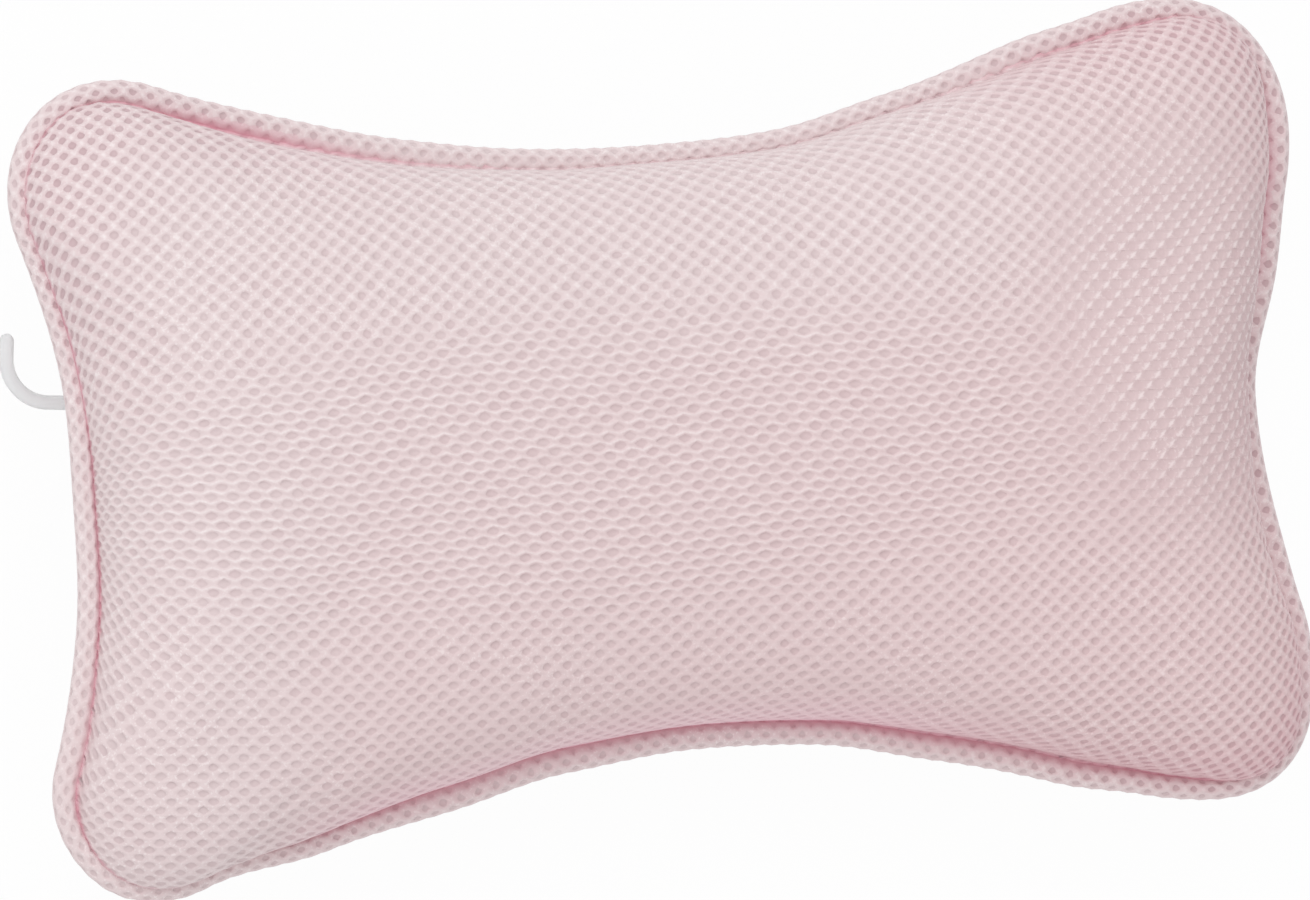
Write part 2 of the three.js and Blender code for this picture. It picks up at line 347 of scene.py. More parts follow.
def join_xyz(tree, x, y, z):
    return add(tree, "ShaderNodeCombineXYZ", x, y, z).outputs[0]


def split_xyz(tree, value):
    return add(tree, "ShaderNodeSeparateXYZ", value).outputs


def mix_colour(tree, share, first, second, blend="MIX"):
    node = add(tree, "ShaderNodeMix", data_type="RGBA", blend_type=blend)
    for name, value in (("Factor_Float", share), ("A_Color", first), ("B_Color", second)):
        socket = next(s for s in node.inputs if s.identifier == name)
        if isinstance(value, bpy.types.NodeSocket):
            tree.links.new(value, socket)
        else:
            socket.default_value = value if name == "Factor_Float" else (*value, 1.0)
    return next(s for s in node.outputs if s.identifier == "Result_Color")


def noise(tree, place, scale, detail=2.0, roughness=0.5):
    node = tree.nodes.new("ShaderNodeTexNoise")
    tree.links.new(place, node.inputs["Vector"])
    node.inputs["Scale"].default_value = scale
    node.inputs["Detail"].default_value = detail
    node.inputs["Roughness"].default_value = roughness
    return node.outputs["Fac"]


def attribute(tree, name):
    return add(tree, "ShaderNodeAttribute", attribute_name=name).outputs["Fac"]


def between(tree, value, low, high, at_low=0.0, at_high=1.0):
    """Eased change from one value at low to another at high."""
    return add(tree, "ShaderNodeMapRange", value, low, high, at_low, at_high,
               interpolation_type="SMOOTHSTEP").outputs[0]


def linear(tree, value, low, high, at_low, at_high):
    """Even change from one value at low to another at high."""
    return add(tree, "ShaderNodeMapRange", value, low, high, at_low, at_high).outputs[0]


def less(tree, share, value):
    """One, less a share of the value."""
    return maths(tree, "MULTIPLY_ADD", value, -share, 1.0)


def object_place(tree):
    return tree.nodes.new("ShaderNodeTexCoord").outputs["Object"]


def bump(tree, height, strength, distance):
    node = tree.nodes.new("ShaderNodeBump")
    node.inputs["Strength"].default_value = strength
    node.inputs["Distance"].default_value = distance
    tree.links.new(height, node.inputs["Height"])
    return node.outputs["Normal"]


def new_finish(name):
    finish = bpy.data.materials.new(name)
    finish.use_nodes = True
    tree = finish.node_tree
    return finish, tree, tree.nodes["Principled BSDF"]


# Finishes

def spacer_mesh_finish(name, glint, yarn, shaded_yarn, hollow, shaded_hollow, seam_shade, low_seam_shade):
    """Polyester mesh: pale yarn with painted highlights on its crests, knots and specks, deeper colour in the
    holes, painted shade in the seam and near it, and pinker painted shade towards the lower right and beside the
    lower seam."""
    finish, tree, shader = new_finish(name)
    place = object_place(tree)
    parts = ("recess", "edge", "tone", "taut", "strip", "smooth")
    recess, edge, tone, taut, strip, smooth = (attribute(tree, part) for part in parts)
    x, y, _ = split_xyz(tree, place)
    aside = maths(tree, "ABSOLUTE", x)
    # The top and the left side are the lit sides: the painted shade below is lessened there
    top = times(tree, between(tree, y, *TOP_LIT_UP), between(tree, aside, *TOP_LIT_ASIDE, 1.0, 0.0))
    left = times(tree, between(tree, x, *LEFT_LIT_ALONG), between(tree, y, *LEFT_LIT_UP))
    pale = maths(tree, "MAXIMUM", top, left)

    # Painted shade: yarn and holes turn a deeper pink within the edge shade's width of the seam, less on the lit
    # top and left
    slack = maths(tree, "POWER", linear(tree, edge, 0.0, EDGE_SHADE_WIDTH, 1.0, 0.0), 1.5)
    slack = times(tree, slack, maths(tree, "MULTIPLY_ADD", pale, -0.68, 0.75))
    strand = mix_colour(tree, slack, yarn, shaded_yarn)
    # Holes deepen at random per cell, their own tone, and by painted shade near the seam, more towards the outer
    # parts
    corner = between(tree, aside, *SHADED_HOLE_ASIDE, 0.4, 1.3)
    hole_tone_and_shade = maths(tree, "MULTIPLY_ADD", between(tree, tone, 0.4, 1.0), 0.14, times(tree, slack, corner))
    hollow = mix_colour(tree, hole_tone_and_shade, hollow, shaded_hollow)
    cloth = mix_colour(tree, between(tree, recess, 0.42, 0.9), strand, hollow)
    cloth = mix_colour(tree, times(tree, smooth, 0.8), cloth, mix_colour(tree, 0.75, strand, hollow))

    batch = noise(tree, place, 30.0, 3.0)
    patch = noise(tree, place, 420.0, 2.0)
    fibre = noise(tree, place, 1900.0, 2.0, 0.6)
    broken = times(tree, between(tree, patch, 0.3, 0.7, 0.35, 1.0), maths(tree, "ADD", fibre, 0.15))
    flat = times(tree, between(tree, y, *FLAT_UP), between(tree, x, *FLAT_ALONG))
    # Painted highlights: crests and, in the smooth part, knots are mixed towards the glint colour, fewer at the
    # flatter bottom
    crest = times(tree, between(tree, recess, 0.0, 0.42, 1.0, 0.0), broken)
    crest = times(tree, crest, less(tree, 0.9, smooth), less(tree, 0.6, flat))
    knot = times(tree, between(tree, recess, 0.05, 0.32, 1.0, 0.0), smooth, 0.8)
    cloth = mix_colour(tree, maths(tree, "MAXIMUM", crest, knot), cloth, glint)
    # Painted highlights: scattered specks of glint on the yarn, in patches
    speck = between(tree, noise(tree, place, 1350.0, 1.0), 0.58, 0.66)
    shown = times(tree, linear(tree, batch, 0.38, 0.62, 0.3, 1.0), linear(tree, taut, 0.0, 1.0, 0.5, 0.1))
    glinting = times(tree, speck, shown, linear(tree, recess, 0.4, 0.7, 1.0, 0.1))
    cloth = mix_colour(tree, glinting, cloth, glint)

    # Painted shade: deeper and pinker towards the lower right, less on the strip and on the lit top and left
    lower = maths(tree, "MULTIPLY_ADD", x, 2.0, maths(tree, "MULTIPLY_ADD", y, -3.5, 0.5))
    lower = add(tree, "ShaderNodeClamp", lower, 0.0, 1.0).outputs[0]
    lower = times(tree, lower, less(tree, 0.7, maths(tree, "MAXIMUM", strip, pale)))
    cloth = mix_colour(tree, lower, cloth, (1.0, 0.90, 0.905), "MULTIPLY")

    # Painted shade beside the lower seam: pinker and redder to the left, turning to the seam's dark pink to the
    # right, none on the lit top, the far left or the strip
    reach = linear(tree, edge, SEAM_SHADE_WIDTH, LOW_SEAM_SHADE_WIDTH, 1.0, 0.0)
    strength = between(tree, x, *LOW_SEAM_SHADE_DEEPER_ALONG, 0.32, 0.18)
    strength = maths(tree, "MULTIPLY_ADD", between(tree, y, *LOW_SEAM_SHADE_UP), strength, 0.08)
    low_seam_unshaded = maths(tree, "MAXIMUM", top, between(tree, x, *LOW_SEAM_SHADE_LEFT_END))
    low_seam_shading = times(tree, reach, strength, less(tree, 1.0, maths(tree, "MAXIMUM", low_seam_unshaded, strip)))
    tint = mix_colour(tree, between(tree, x, *LOW_SEAM_SHADE_DEEPER_ALONG), low_seam_shade, seam_shade)
    cloth = mix_colour(tree, low_seam_shading, cloth, tint)
    # Painted shade: the groove along the seam is mixed towards dark pink, fading over the seam shade's width
    near = maths(tree, "POWER", linear(tree, edge, 0.0, SEAM_SHADE_WIDTH, 1.0, 0.0), 1.5)
    cloth = mix_colour(tree, times(tree, near, 0.92), cloth, seam_shade)
    tree.links.new(cloth, shader.inputs["Base Color"])
    tree.links.new(maths(tree, "MULTIPLY_ADD", fibre, 0.2, 0.45), shader.inputs["Roughness"])
    shader.inputs["Specular IOR Level"].default_value = 0.35
    shader.inputs["Sheen Weight"].default_value = 0.12
    shader.inputs["Sheen Roughness"].default_value = 0.4
    tree.links.new(bump(tree, fibre, 0.25, 0.00012), shader.inputs["Normal"])
    return finish


def fibre_finish(name, colour, scale):
    finish, tree, shader = new_finish(name)
    place = object_place(tree)
    tuft = noise(tree, place, scale, 5.0, 0.65)
    tint = mix_colour(tree, tuft, [0.88 * c for c in colour], colour)
    tree.links.new(tint, shader.inputs["Base Color"])
    shader.inputs["Roughness"].default_value = 0.9
    shader.inputs["Sheen Weight"].default_value = 0.3
    tree.links.new(bump(tree, tuft, 0.6, 0.0015), shader.inputs["Normal"])
    return finish


def webbing_finish():
    finish, tree, shader = new_finish("pink_webbing")
    place = object_place(tree)
    rise = attribute(tree, "rise")
    fuzz = noise(tree, place, 1500.0, 3.0, 0.6)
    # Painted shade: the weave is darker where it lies low between its ribs and crossings
    tint = mix_colour(tree, rise, (0.55, 0.40, 0.42), (0.76, 0.60, 0.62))
    tint = mix_colour(tree, times(tree, fuzz, 0.25), tint, (0.86, 0.73, 0.74))
    tree.links.new(tint, shader.inputs["Base Color"])
    shader.inputs["Roughness"].default_value = 0.72
    shader.inputs["Sheen Weight"].default_value = 0.25
    tree.links.new(bump(tree, fuzz, 0.4, 0.0002), shader.inputs["Normal"])
    return finish


def thread_finish():
    finish, tree, shader = new_finish("sewing_thread")
    fuzz = noise(tree, object_place(tree), 2600.0, 2.0)
    tint = mix_colour(tree, fuzz, (0.66, 0.50, 0.52), (0.82, 0.68, 0.70))
    tree.links.new(tint, shader.inputs["Base Color"])
    shader.inputs["Roughness"].default_value = 0.55
    tree.links.new(bump(tree, fuzz, 0.4, 0.0001), shader.inputs["Normal"])
    return finish


def clear_vinyl_finish():
    finish, tree, shader = new_finish("clear_vinyl")
    ripple = noise(tree, object_place(tree), 70.0, 2.0)
    haze = maths(tree, "MULTIPLY_ADD", ripple, 0.10, 0.08)
    tree.links.new(haze, shader.inputs["Roughness"])
    shader.inputs["Base Color"].default_value = (0.93, 0.95, 0.955, 1.0)
    shader.inputs["Transmission Weight"].default_value = 0.9
    shader.inputs["IOR"].default_value = 1.5
    tree.links.new(bump(tree, ripple, 0.12, 0.0008), shader.inputs["Normal"])
    return finish


def frosted_finish():
    finish, tree, shader = new_finish("frosted_plastic")
    place = object_place(tree)
    cloud = noise(tree, place, 160.0, 3.0)
    tint = mix_colour(tree, cloud, (0.90, 0.91, 0.92), (0.97, 0.975, 0.98))
    tree.links.new(tint, shader.inputs["Base Color"])
    grain = noise(tree, place, 2200.0, 2.0)
    tree.links.new(maths(tree, "MULTIPLY_ADD", grain, 0.15, 0.25), shader.inputs["Roughness"])
    shader.inputs["Transmission Weight"].default_value = 0.6
    shader.inputs["IOR"].default_value = 1.40
    tree.links.new(bump(tree, grain, 0.08, 0.0001), shader.inputs["Normal"])
    return finish


# Cushion outline

def arc_points(centre, radius, start, stop, count, hollow):
    angle = np.linspace(start, stop, count)
    out = np.column_stack([np.cos(angle), np.sin(angle)])
    return np.hstack([np.array(centre) + radius * out, -out if hollow else out])


def hollow_centre(along, out, waist, lobe_radius):
    reach = waist - lobe_radius
    return (along ** 2 + out ** 2 - reach ** 2) / (2 * (out - reach))


def quarter_outline(lobe_radius, count=QUARTER_POINTS):
    """From the middle of an end, round the lobe, to the middle of a long side: place, outward, ridge."""
    lobe = np.array([LENGTH / 2 - lobe_radius, HEIGHT / 2 - lobe_radius])
    end_waist = LENGTH / 2 - END_DIP
    long_waist = WAIST_HEIGHT / 2
    end_x = hollow_centre(lobe[1], lobe[0], end_waist, lobe_radius)
    long_y = hollow_centre(lobe[0], lobe[1], long_waist, lobe_radius)
    end_turn = math.atan2(lobe[1], lobe[0] - end_x)
    long_turn = math.atan2(lobe[1] - long_y, lobe[0])
    points = np.vstack([
        arc_points((end_x, 0), end_x - end_waist, math.pi, end_turn, count, True)[:-1],
        arc_points(lobe, lobe_radius, end_turn - math.pi, long_turn + math.pi, count, False)[:-1],
        arc_points((0, long_y), long_y - long_waist, long_turn, -math.pi / 2, count, True),
    ])
    steps = np.hypot(*np.diff(points[:, :2], axis=0).T)
    share = np.concatenate([[0], np.cumsum(steps)]) / steps.sum()
    ridge = RIDGE_LENGTH / 2 * (1 - share ** RIDGE_EASE)
    from_lobe = (share - share[count + count // 2]) * steps.sum()
    return np.column_stack([points, ridge, np.exp(-(from_lobe / LOBE_REACH) ** 2)])


def round_steps(millimetres, wanted):
    """Metres at any share of the way round, eased between values at even steps."""
    steps = len(millimetres)
    total = np.zeros(len(wanted))
    for step, value in enumerate(millimetres):
        away = np.abs((wanted - step / steps + 0.5) % 1 - 0.5) * steps
        total += 0.001 * value * (0.5 + 0.5 * np.cos(math.pi * np.minimum(away, 1)))
    return total


def near_place(wanted, place, reach, whole):
    """1 at a place on the seam, falling to 0 beyond its reach."""
    away = ((wanted - place + 0.5) % 1 - 0.5) * whole
    return np.exp(-(away / reach) ** 4)


def seam_outline(count):
    """Outline at even steps, anticlockwise from the right end: place, outward, ridge, shares of lobe and of
    flush, how far in the panel rises, and how faint the seam's painted shade is."""
    right = quarter_outline(RIGHT_LOBE_RADIUS)
    left = quarter_outline(LEFT_LOBE_RADIUS)
    flip_x = np.array([-1, 1, -1, 1, -1, 1])
    flip_y = np.array([1, -1, 1, -1, 1, 1])
    points = np.vstack([
        right[:-1],
        (left * flip_x)[::-1][:-1],
        (left * flip_x * flip_y)[:-1],
        (right * flip_y)[::-1],
    ])
    steps = np.hypot(*np.diff(points[:, :2], axis=0).T)
    travelled = np.concatenate([[0], np.cumsum(steps)]) / steps.sum()
    wanted = np.arange(count) / count
    outline = np.column_stack([np.interp(wanted, travelled, column) for column in points.T])
    outline[:, :2] += outline[:, 2:4] * round_steps(SEAM_PUSH, wanted)[:, None]
    along = np.roll(outline[:, :2], -1, axis=0) - np.roll(outline[:, :2], 1, axis=0)
    along /= np.linalg.norm(along, axis=1)[:, None]
    outline[:, 2:4] = np.column_stack([along[:, 1], -along[:, 0]])
    whole = steps.sum()
    flush = np.max([near_place(wanted, place, reach, whole) for place, reach in FLUSH_PLACES], axis=0)
    faint = 0.5 * flush
    for place, reach, share in PALE_PLACES:
        faint += share * near_place(wanted, place, reach, whole)
    return np.column_stack([outline, flush, round_steps(PIPING_SHOWN, wanted), faint])


# Stuffed panels, kept as grids of rings by outline points, from the seam to the ridge

def panel_rim(count, side):
    """Edge of a panel, caught under the piping, and the foot further in where it rises."""
    outline = seam_outline(count)
    shown = outline[:, SHOWN]
    rim_z = RIM_Z + (FLUSH_Z - RIM_Z) * outline[:, FLUSH]
    flange = np.maximum(shown, LEAST_FLANGE)
    inset = PANEL_INSET - FLUSH_LAP * outline[:, FLUSH] + np.minimum(shown, 0)
    rim = outline[:, :2] - outline[:, 2:4] * inset[:, None]
    foot = rim - outline[:, 2:4] * flange[:, None]
    foot_z = rim_z + FLANGE_RISE * flange
    rim = np.column_stack([rim, SEAM_Z + side * rim_z])
    foot = np.column_stack([foot, SEAM_Z + side * foot_z])
    return rim, foot, outline


def sewn_panel(side, crown):
    """Rings of a panel from its foot to its ridge."""
    _, foot, outline = panel_rim(OUTLINE_POINTS, side)
    blunt = SIDE_BLUNTNESS + (LOBE_BLUNTNESS - SIDE_BLUNTNESS) * outline[:, LOBE]
    top = np.full(len(foot), SEAM_Z + side * crown)
    ridge = np.column_stack([outline[:, RIDGE], np.zeros(len(outline)), top])
    rings = []
    for k in range(CROWN_RINGS + 1):
        share = 1 - math.cos(k / CROWN_RINGS * math.pi / 2)
        rise = (1 - (1 - share) ** blunt) ** (1 / blunt)
        weight = np.column_stack([np.full(len(foot), share), np.full(len(foot), share), rise])
        rings.append(foot * (1 - weight) + ridge * weight)
    return np.array(rings)


def with_flange(grid, side):
    """A refined panel with the narrow flange that lies between the piping and its foot."""
    rim, _, _ = panel_rim(grid.shape[1], side)
    shares = np.arange(FLANGE_RINGS) / FLANGE_RINGS
    return np.concatenate([[rim * (1 - share) + grid[0] * share for share in shares], grid])


def grid_faces(rings, count, side):
    faces = []
    for k in range(rings - 1):
        for i in range(count):
            here, beside = k * count + i, k * count + (i + 1) % count
            face = [here, beside, beside + count, here + count]
            faces.append(face if side > 0 else face[::-1])
    return faces


def closed_ring_faces(steps, sides):
    """Faces of a tube that runs round into its own start."""
    faces = []
    for k in range(steps):
        start, ahead = k * sides, (k + 1) % steps * sides
        for i in range(sides):
            beside = (i + 1) % sides
            faces.append([start + i, ahead + i, ahead + beside, start + beside])
    return faces


def stuff(name, grid, side):
    """Presses a sewn panel out against its seam, as the stuffing does, by cloth simulation."""
    rings, count, _ = grid.shape
    index = np.arange(rings * count)
    ridge = (rings - 1) * count + np.arange(count)
    index[ridge] = ridge[0] + np.minimum(np.arange(count), (count - np.arange(count)) % count)
    faces = [[index[v] for v in face] for face in grid_faces(rings, count, side)]
    used = np.unique(np.array(faces))
    place_of = np.full(rings * count, -1)
    place_of[used] = np.arange(len(used))
    corners = [list(dict.fromkeys(int(place_of[v]) for v in face)) for face in faces]
    sewn = grid.reshape(-1, 3)[used]
    panel = new_object(name, new_mesh(name, sewn, [c for c in corners if len(c) > 2]))
    pins = panel.vertex_groups.new(name="seam")
    pins.add([int(place_of[v]) for v in range(count)], 1.0, "REPLACE")
    cloth = panel.modifiers.new("stuffing", "CLOTH")
    cloth.settings.quality = STUFFING_QUALITY
    cloth.settings.use_pressure = True
    cloth.settings.uniform_pressure_force = STUFFING_PRESSURE
    cloth.settings.vertex_group_mass = "seam"
    cloth.settings.effector_weights.gravity = 0
    cloth.point_cache.frame_start = 1
    cloth.point_cache.frame_end = STUFFING_FRAMES
    for step in range(1, STUFFING_FRAMES + 1):
        bpy.context.scene.frame_set(step)
    moved = vertex_array(evaluated(panel)) - sewn
    bpy.context.scene.frame_set(1)
    reach = np.linalg.norm(moved, axis=1)
    stuffed = sewn + moved * np.minimum(1, STUFFING_REACH / np.maximum(reach, 1e-9))[:, None]
    return stuffed[place_of[index]].reshape(rings, count, 3)


def cubic(before, here, after, beyond, share):
    """Smooth curve between the two middle points of four."""
    return 0.5 * (2 * here + (after - before) * share
                  + (2 * before - 5 * here + 4 * after - beyond) * share ** 2
                  + (3 * here - before - 3 * after + beyond) * share ** 3)


def refined(grid):
    """The grid with REFINE steps between its rings and its outline points, on smooth curves."""
    rings, count, _ = grid.shape
    around = np.zeros((rings, count * REFINE, 3))
    for r in range(REFINE):
        rolls = [np.roll(grid, shift, axis=1) for shift in (1, 0, -1, -2)]
        around[:, r::REFINE] = cubic(*rolls, r / REFINE)
    outer = 2 * around[:1] - around[1:2]
    inner = 2 * around[-1:] - around[-2:-1]
    ends = np.concatenate([outer, around, inner, inner])
    across = np.zeros(((rings - 1) * REFINE + 1, count * REFINE, 3))
    for r in range(REFINE):
        part = cubic(ends[0:rings - 1], ends[1:rings], ends[2:rings + 1], ends[3:rings + 2], r / REFINE)
        across[r:-1:REFINE] = part
    across[-1] = around[-1]
    return across


def cross_flat(first, second):
    return first[:, 0] * second[:, 1] - first[:, 1] * second[:, 0]


class StuffedFace:
    """A panel's surface with the flat cut of its fabric: rays from the ridge keep their length."""

    def __init__(self, grid, side):
        self.grid = grid
        rings, count, _ = grid.shape
        steps = np.linalg.norm(np.diff(grid, axis=0), axis=2)
        from_rim = np.concatenate([np.zeros((1, count)), np.cumsum(steps, axis=0)])
        from_ridge = from_rim[-1] - from_rim
        ridge = grid[-1, :, :2]
        toward = grid[0, :, :2] - ridge
        toward /= np.linalg.norm(toward, axis=1)[:, None]
        self.flat = (ridge + toward * from_ridge[:, :, None]).reshape(-1, 2)
        self.place = grid.reshape(-1, 3)
        outline = seam_outline(count)
        hidden = SEAM_HIDDEN - np.minimum(outline[:, SHOWN], 0)
        self.edge = (np.maximum(from_rim - hidden, 0) + SEAM_SHADE_WIDTH * outline[:, FAINT]).reshape(-1)
        quads = np.array(grid_faces(rings, count, 1))
        self.triangles = np.vstack([quads[:, [0, 1, 2]], quads[:, [0, 2, 3]]])
        corners = self.place[self.triangles]
        out = np.cross(corners[:, 1] - corners[:, 0], corners[:, 2] - corners[:, 0]) * side
        normals = np.zeros_like(self.place)
        for c in range(3):
            np.add.at(normals, self.triangles[:, c], out)
        half = count // 2
        last = (rings - 1) * count
        for i in range(1, half):
            shared = normals[last + i] + normals[last + count - i]
            normals[last + i] = shared
            normals[last + count - i] = shared
        self.normals = normals / np.maximum(np.linalg.norm(normals, axis=1), 1e-12)[:, None]
        lifted = np.column_stack([self.flat, np.zeros(len(self.flat))])
        self.tree = BVHTree.FromPolygons(lifted.tolist(), self.triangles.tolist())

    def carry(self, sheet):
        """Takes points of a flat sheet (along, up, above) onto the surface."""
        found = [self.tree.find_nearest(Vector((p[0], p[1], 0.0))) for p in sheet]
        spot = np.array([f[0][:2] for f in found])
        triangle = self.triangles[[f[2] for f in found]]
        outside = np.array([f[3] for f in found])
        a, b, c = (self.flat[triangle[:, i]] for i in range(3))
        whole = cross_flat(b - a, c - a)
        whole = np.where(np.abs(whole) < 1e-16, 1e-16, whole)
        w_b = cross_flat(spot - a, c - a) / whole
        w_c = cross_flat(b - a, spot - a) / whole
        weights = np.clip(np.column_stack([1 - w_b - w_c, w_b, w_c]), 0, 1)
        weights /= weights.sum(axis=1)[:, None]
        place = np.einsum("nc,nck->nk", weights, self.place[triangle])
        normal = np.einsum("nc,nck->nk", weights, self.normals[triangle])
        normal /= np.linalg.norm(normal, axis=1)[:, None]
        edge = np.einsum("nc,nc->n", weights, self.edge[triangle])
        above = sheet[:, 2] * np.clip(edge / SEAM_FLAT_WIDTH, 0.1, 1)
        return place + normal * above[:, None], spot, edge, outside


# Spacer mesh, made flat by node tree and then carried onto the cushion

def perforated_fabric_tree():
    """One cell of mesh, set on every point and welded to its neighbours: a hole between two wavy yarns. Where
    the cloth is drawn taut the hole is an almond with a slit to the next of its row. Elsewhere it is round, and
    where the cloth is smooth it is shallow and its knots stand out."""
    tree = bpy.data.node_groups.new("perforated_fabric", "GeometryNodeTree")
    sockets = tree.interface
    sockets.new_socket("Hole centres", in_out="INPUT", socket_type="NodeSocketGeometry")
    for size in SPACER_MESH:
        sockets.new_socket(size, in_out="INPUT", socket_type="NodeSocketFloat")
    sockets.new_socket("Finish", in_out="INPUT", socket_type="NodeSocketMaterial")
    sockets.new_socket("Fabric", in_out="OUTPUT", socket_type="NodeSocketGeometry")
    entry = tree.nodes.new("NodeGroupInput").outputs
    half_length = times(tree, entry["Cell length"], 0.5)
    half_gap = times(tree, entry["Row gap"], 0.5)
    here = tree.nodes.new("GeometryNodeInputPosition").outputs[0]

    circle = add(tree, "GeometryNodeMeshCircle", 12, 1.0, fill_type="NGON").outputs[0]
    at = split_xyz(tree, here)
    quarter = maths(tree, "SUBTRACT", math.pi / 2, maths(tree, "ARCCOSINE", at[0]))
    along = add(tree, "ShaderNodeClamp", maths(tree, "DIVIDE", quarter, math.pi / 3), -1.0, 1.0).outputs[0]
    wave = maths(tree, "MULTIPLY_ADD", maths(tree, "COSINE", times(tree, along, math.pi)),
                 entry["Yarn wave"], half_gap)
    above = add(tree, "ShaderNodeClamp", times(tree, at[1], 100.0), -1.0, 1.0).outputs[0]
    on_yarn = maths(tree, "ABSOLUTE", above)
    border = join_xyz(tree, times(tree, along, half_length), times(tree, above, wave),
                      entry["Yarn rise"])
    cell = store(tree, circle, "recess", "FLOAT", True, maths(tree, "MULTIPLY_ADD", on_yarn, -KNOT, KNOT))
    beside = between(tree, maths(tree, "ABSOLUTE", along), 0.4, 0.6, -1.0, 1.0)
    beside = times(tree, beside, maths(tree, "GREATER_THAN", maths(tree, "ABSOLUTE", beside), 0.5))
    cell = store(tree, cell, "lean", "FLOAT", True, times(tree, above, beside))
    cell = add(tree, "GeometryNodeSetPosition", cell, True, border).outputs[0]

    rim = add(tree, "GeometryNodeExtrudeMesh", cell, mode="FACES")
    rim.inputs["Offset Scale"].default_value = 0.0
    at = split_xyz(tree, here)
    flat = join_xyz(tree, maths(tree, "DIVIDE", at[0], half_length),
                    maths(tree, "DIVIDE", at[1], maths(tree, "ADD", half_gap, entry["Yarn wave"])), 0.0)
    turn = split_xyz(tree, vector(tree, "NORMALIZE", flat))
    spread = maths(tree, "ADD", maths(tree, "ABSOLUTE", turn[0]), maths(tree, "ABSOLUTE", turn[1]))
    pull = maths(tree, "POWER", maths(tree, "DIVIDE", 1.0, spread), entry["Hole point"])
    half_pull = times(tree, pull, 0.5)
    hole = join_xyz(
        tree,
        times(tree, turn[0], half_pull, entry["Hole length"]),
        times(tree, turn[1], half_pull, entry["Hole height"]),
        times(tree, entry["Rim drop"], -1.0),
    )
    cell = add(tree, "GeometryNodeSetPosition", rim.outputs[0], rim.outputs[1], hole).outputs[0]
    cell = store(tree, cell, "recess", "FLOAT", rim.outputs[1], RIM)

    floor = add(tree, "GeometryNodeExtrudeMesh", cell, rim.outputs[1], mode="FACES")
    floor.inputs["Offset Scale"].default_value = 0.0
    at = split_xyz(tree, here)
    sunk = join_xyz(tree, times(tree, at[0], entry["Floor share"]),
                    times(tree, at[1], entry["Floor share"]),
                    times(tree, entry["Recess depth"], -1.0))
    cell = add(tree, "GeometryNodeSetPosition", floor.outputs[0], floor.outputs[1], sunk).outputs[0]
    cell = store(tree, cell, "recess", "FLOAT", floor.outputs[1], 1.0)

    chance = add(tree, "FunctionNodeRandomValue", data_type="FLOAT")
    chance.inputs["Seed"].default_value = 5
    tone = next(s for s in chance.outputs if s.enabled)
    centres = store(tree, entry["Hole centres"], "centre", "FLOAT_VECTOR", True, here)
    at = split_xyz(tree, here)
    from_taut = maths(tree, "SUBTRACT", at[0], entry["Taut middle along"])
    reach = vector_length(tree, join_xyz(tree, maths(tree, "DIVIDE", from_taut, entry["Taut along"]),
                                         maths(tree, "DIVIDE", at[1], entry["Taut up"]), 0.0))
    taut = between(tree, reach, 0.7, 1.4, 1.0, 0.0)
    from_middle = vector(tree, "SUBTRACT", here, join_xyz(tree, entry["Smooth middle along"],
                                                          entry["Smooth middle up"], 0.0))
    at = split_xyz(tree, from_middle)
    reach = vector_length(tree, join_xyz(tree, maths(tree, "DIVIDE", at[0], entry["Smooth along"]),
                                         maths(tree, "DIVIDE", at[1], entry["Smooth up"]), 0.0))
    smooth = between(tree, reach, 0.55, 1.25, 1.0, 0.0)
    centres = store(tree, centres, "smooth", "FLOAT", True, smooth)
    rough = maths(tree, "SUBTRACT", 1.0, smooth)
    centres = store(tree, centres, "taut", "FLOAT", True, times(tree, taut, rough))
    centres = store(tree, centres, "tone", "FLOAT", True, tone)
    cells = add(tree, "GeometryNodeInstanceOnPoints", centres)
    tree.links.new(cell, cells.inputs["Instance"])
    sheet = add(tree, "GeometryNodeRealizeInstances", cells.outputs[0]).outputs[0]
    weld = add(tree, "GeometryNodeMergeByDistance", sheet)
    tree.links.new(entry["Weld gap"], weld.inputs["Distance"])
    sheet = weld.outputs[0]

    recess = stored(tree, "recess", "FLOAT")
    taut = stored(tree, "taut", "FLOAT")
    smooth = stored(tree, "smooth", "FLOAT")
    centre = stored(tree, "centre", "FLOAT_VECTOR")
    in_hole = maths(tree, "GREATER_THAN", recess, 0.4)
    at_knot = maths(tree, "COMPARE", recess, KNOT, 0.05)
    at = split_xyz(tree, centre)
    lower_left = times(tree, between(tree, at[0], *LONG_HOLE_ALONG), between(tree, at[1], *LONG_HOLE_UP))
    length = linear(tree, lower_left, 0.0, 1.0, entry["Round share"], entry["Left share"])
    length = linear(tree, taut, 0.0, 1.0, length, 1.0)
    stray = tree.nodes.new("ShaderNodeTexNoise")
    stray.inputs["Scale"].default_value = 600.0
    stray = vector(tree, "SUBTRACT", stray.outputs["Color"], (0.5, 0.5, 0.5))
    twice = times(tree, entry["Hole jitter"], 4.0)
    stray = vector(tree, "MULTIPLY", stray, join_xyz(tree, twice, twice, 0.0))
    rise = linear(tree, taut, 0.0, 1.0, entry["Round rise"], 1.0)
    depth = linear(tree, smooth, 0.0, 1.0, 1.0, entry["Smooth hole share"])
    from_centre = vector(tree, "SUBTRACT", here, centre)
    drawn = vector(tree, "MULTIPLY_ADD", from_centre, join_xyz(tree, length, rise, depth), centre)
    sheet = add(tree, "GeometryNodeSetPosition", sheet, in_hole, drawn, stray).outputs[0]
    slit = times(tree, taut, maths(tree, "ADD", entry["Yarn rise"], entry["Slit depth"]))
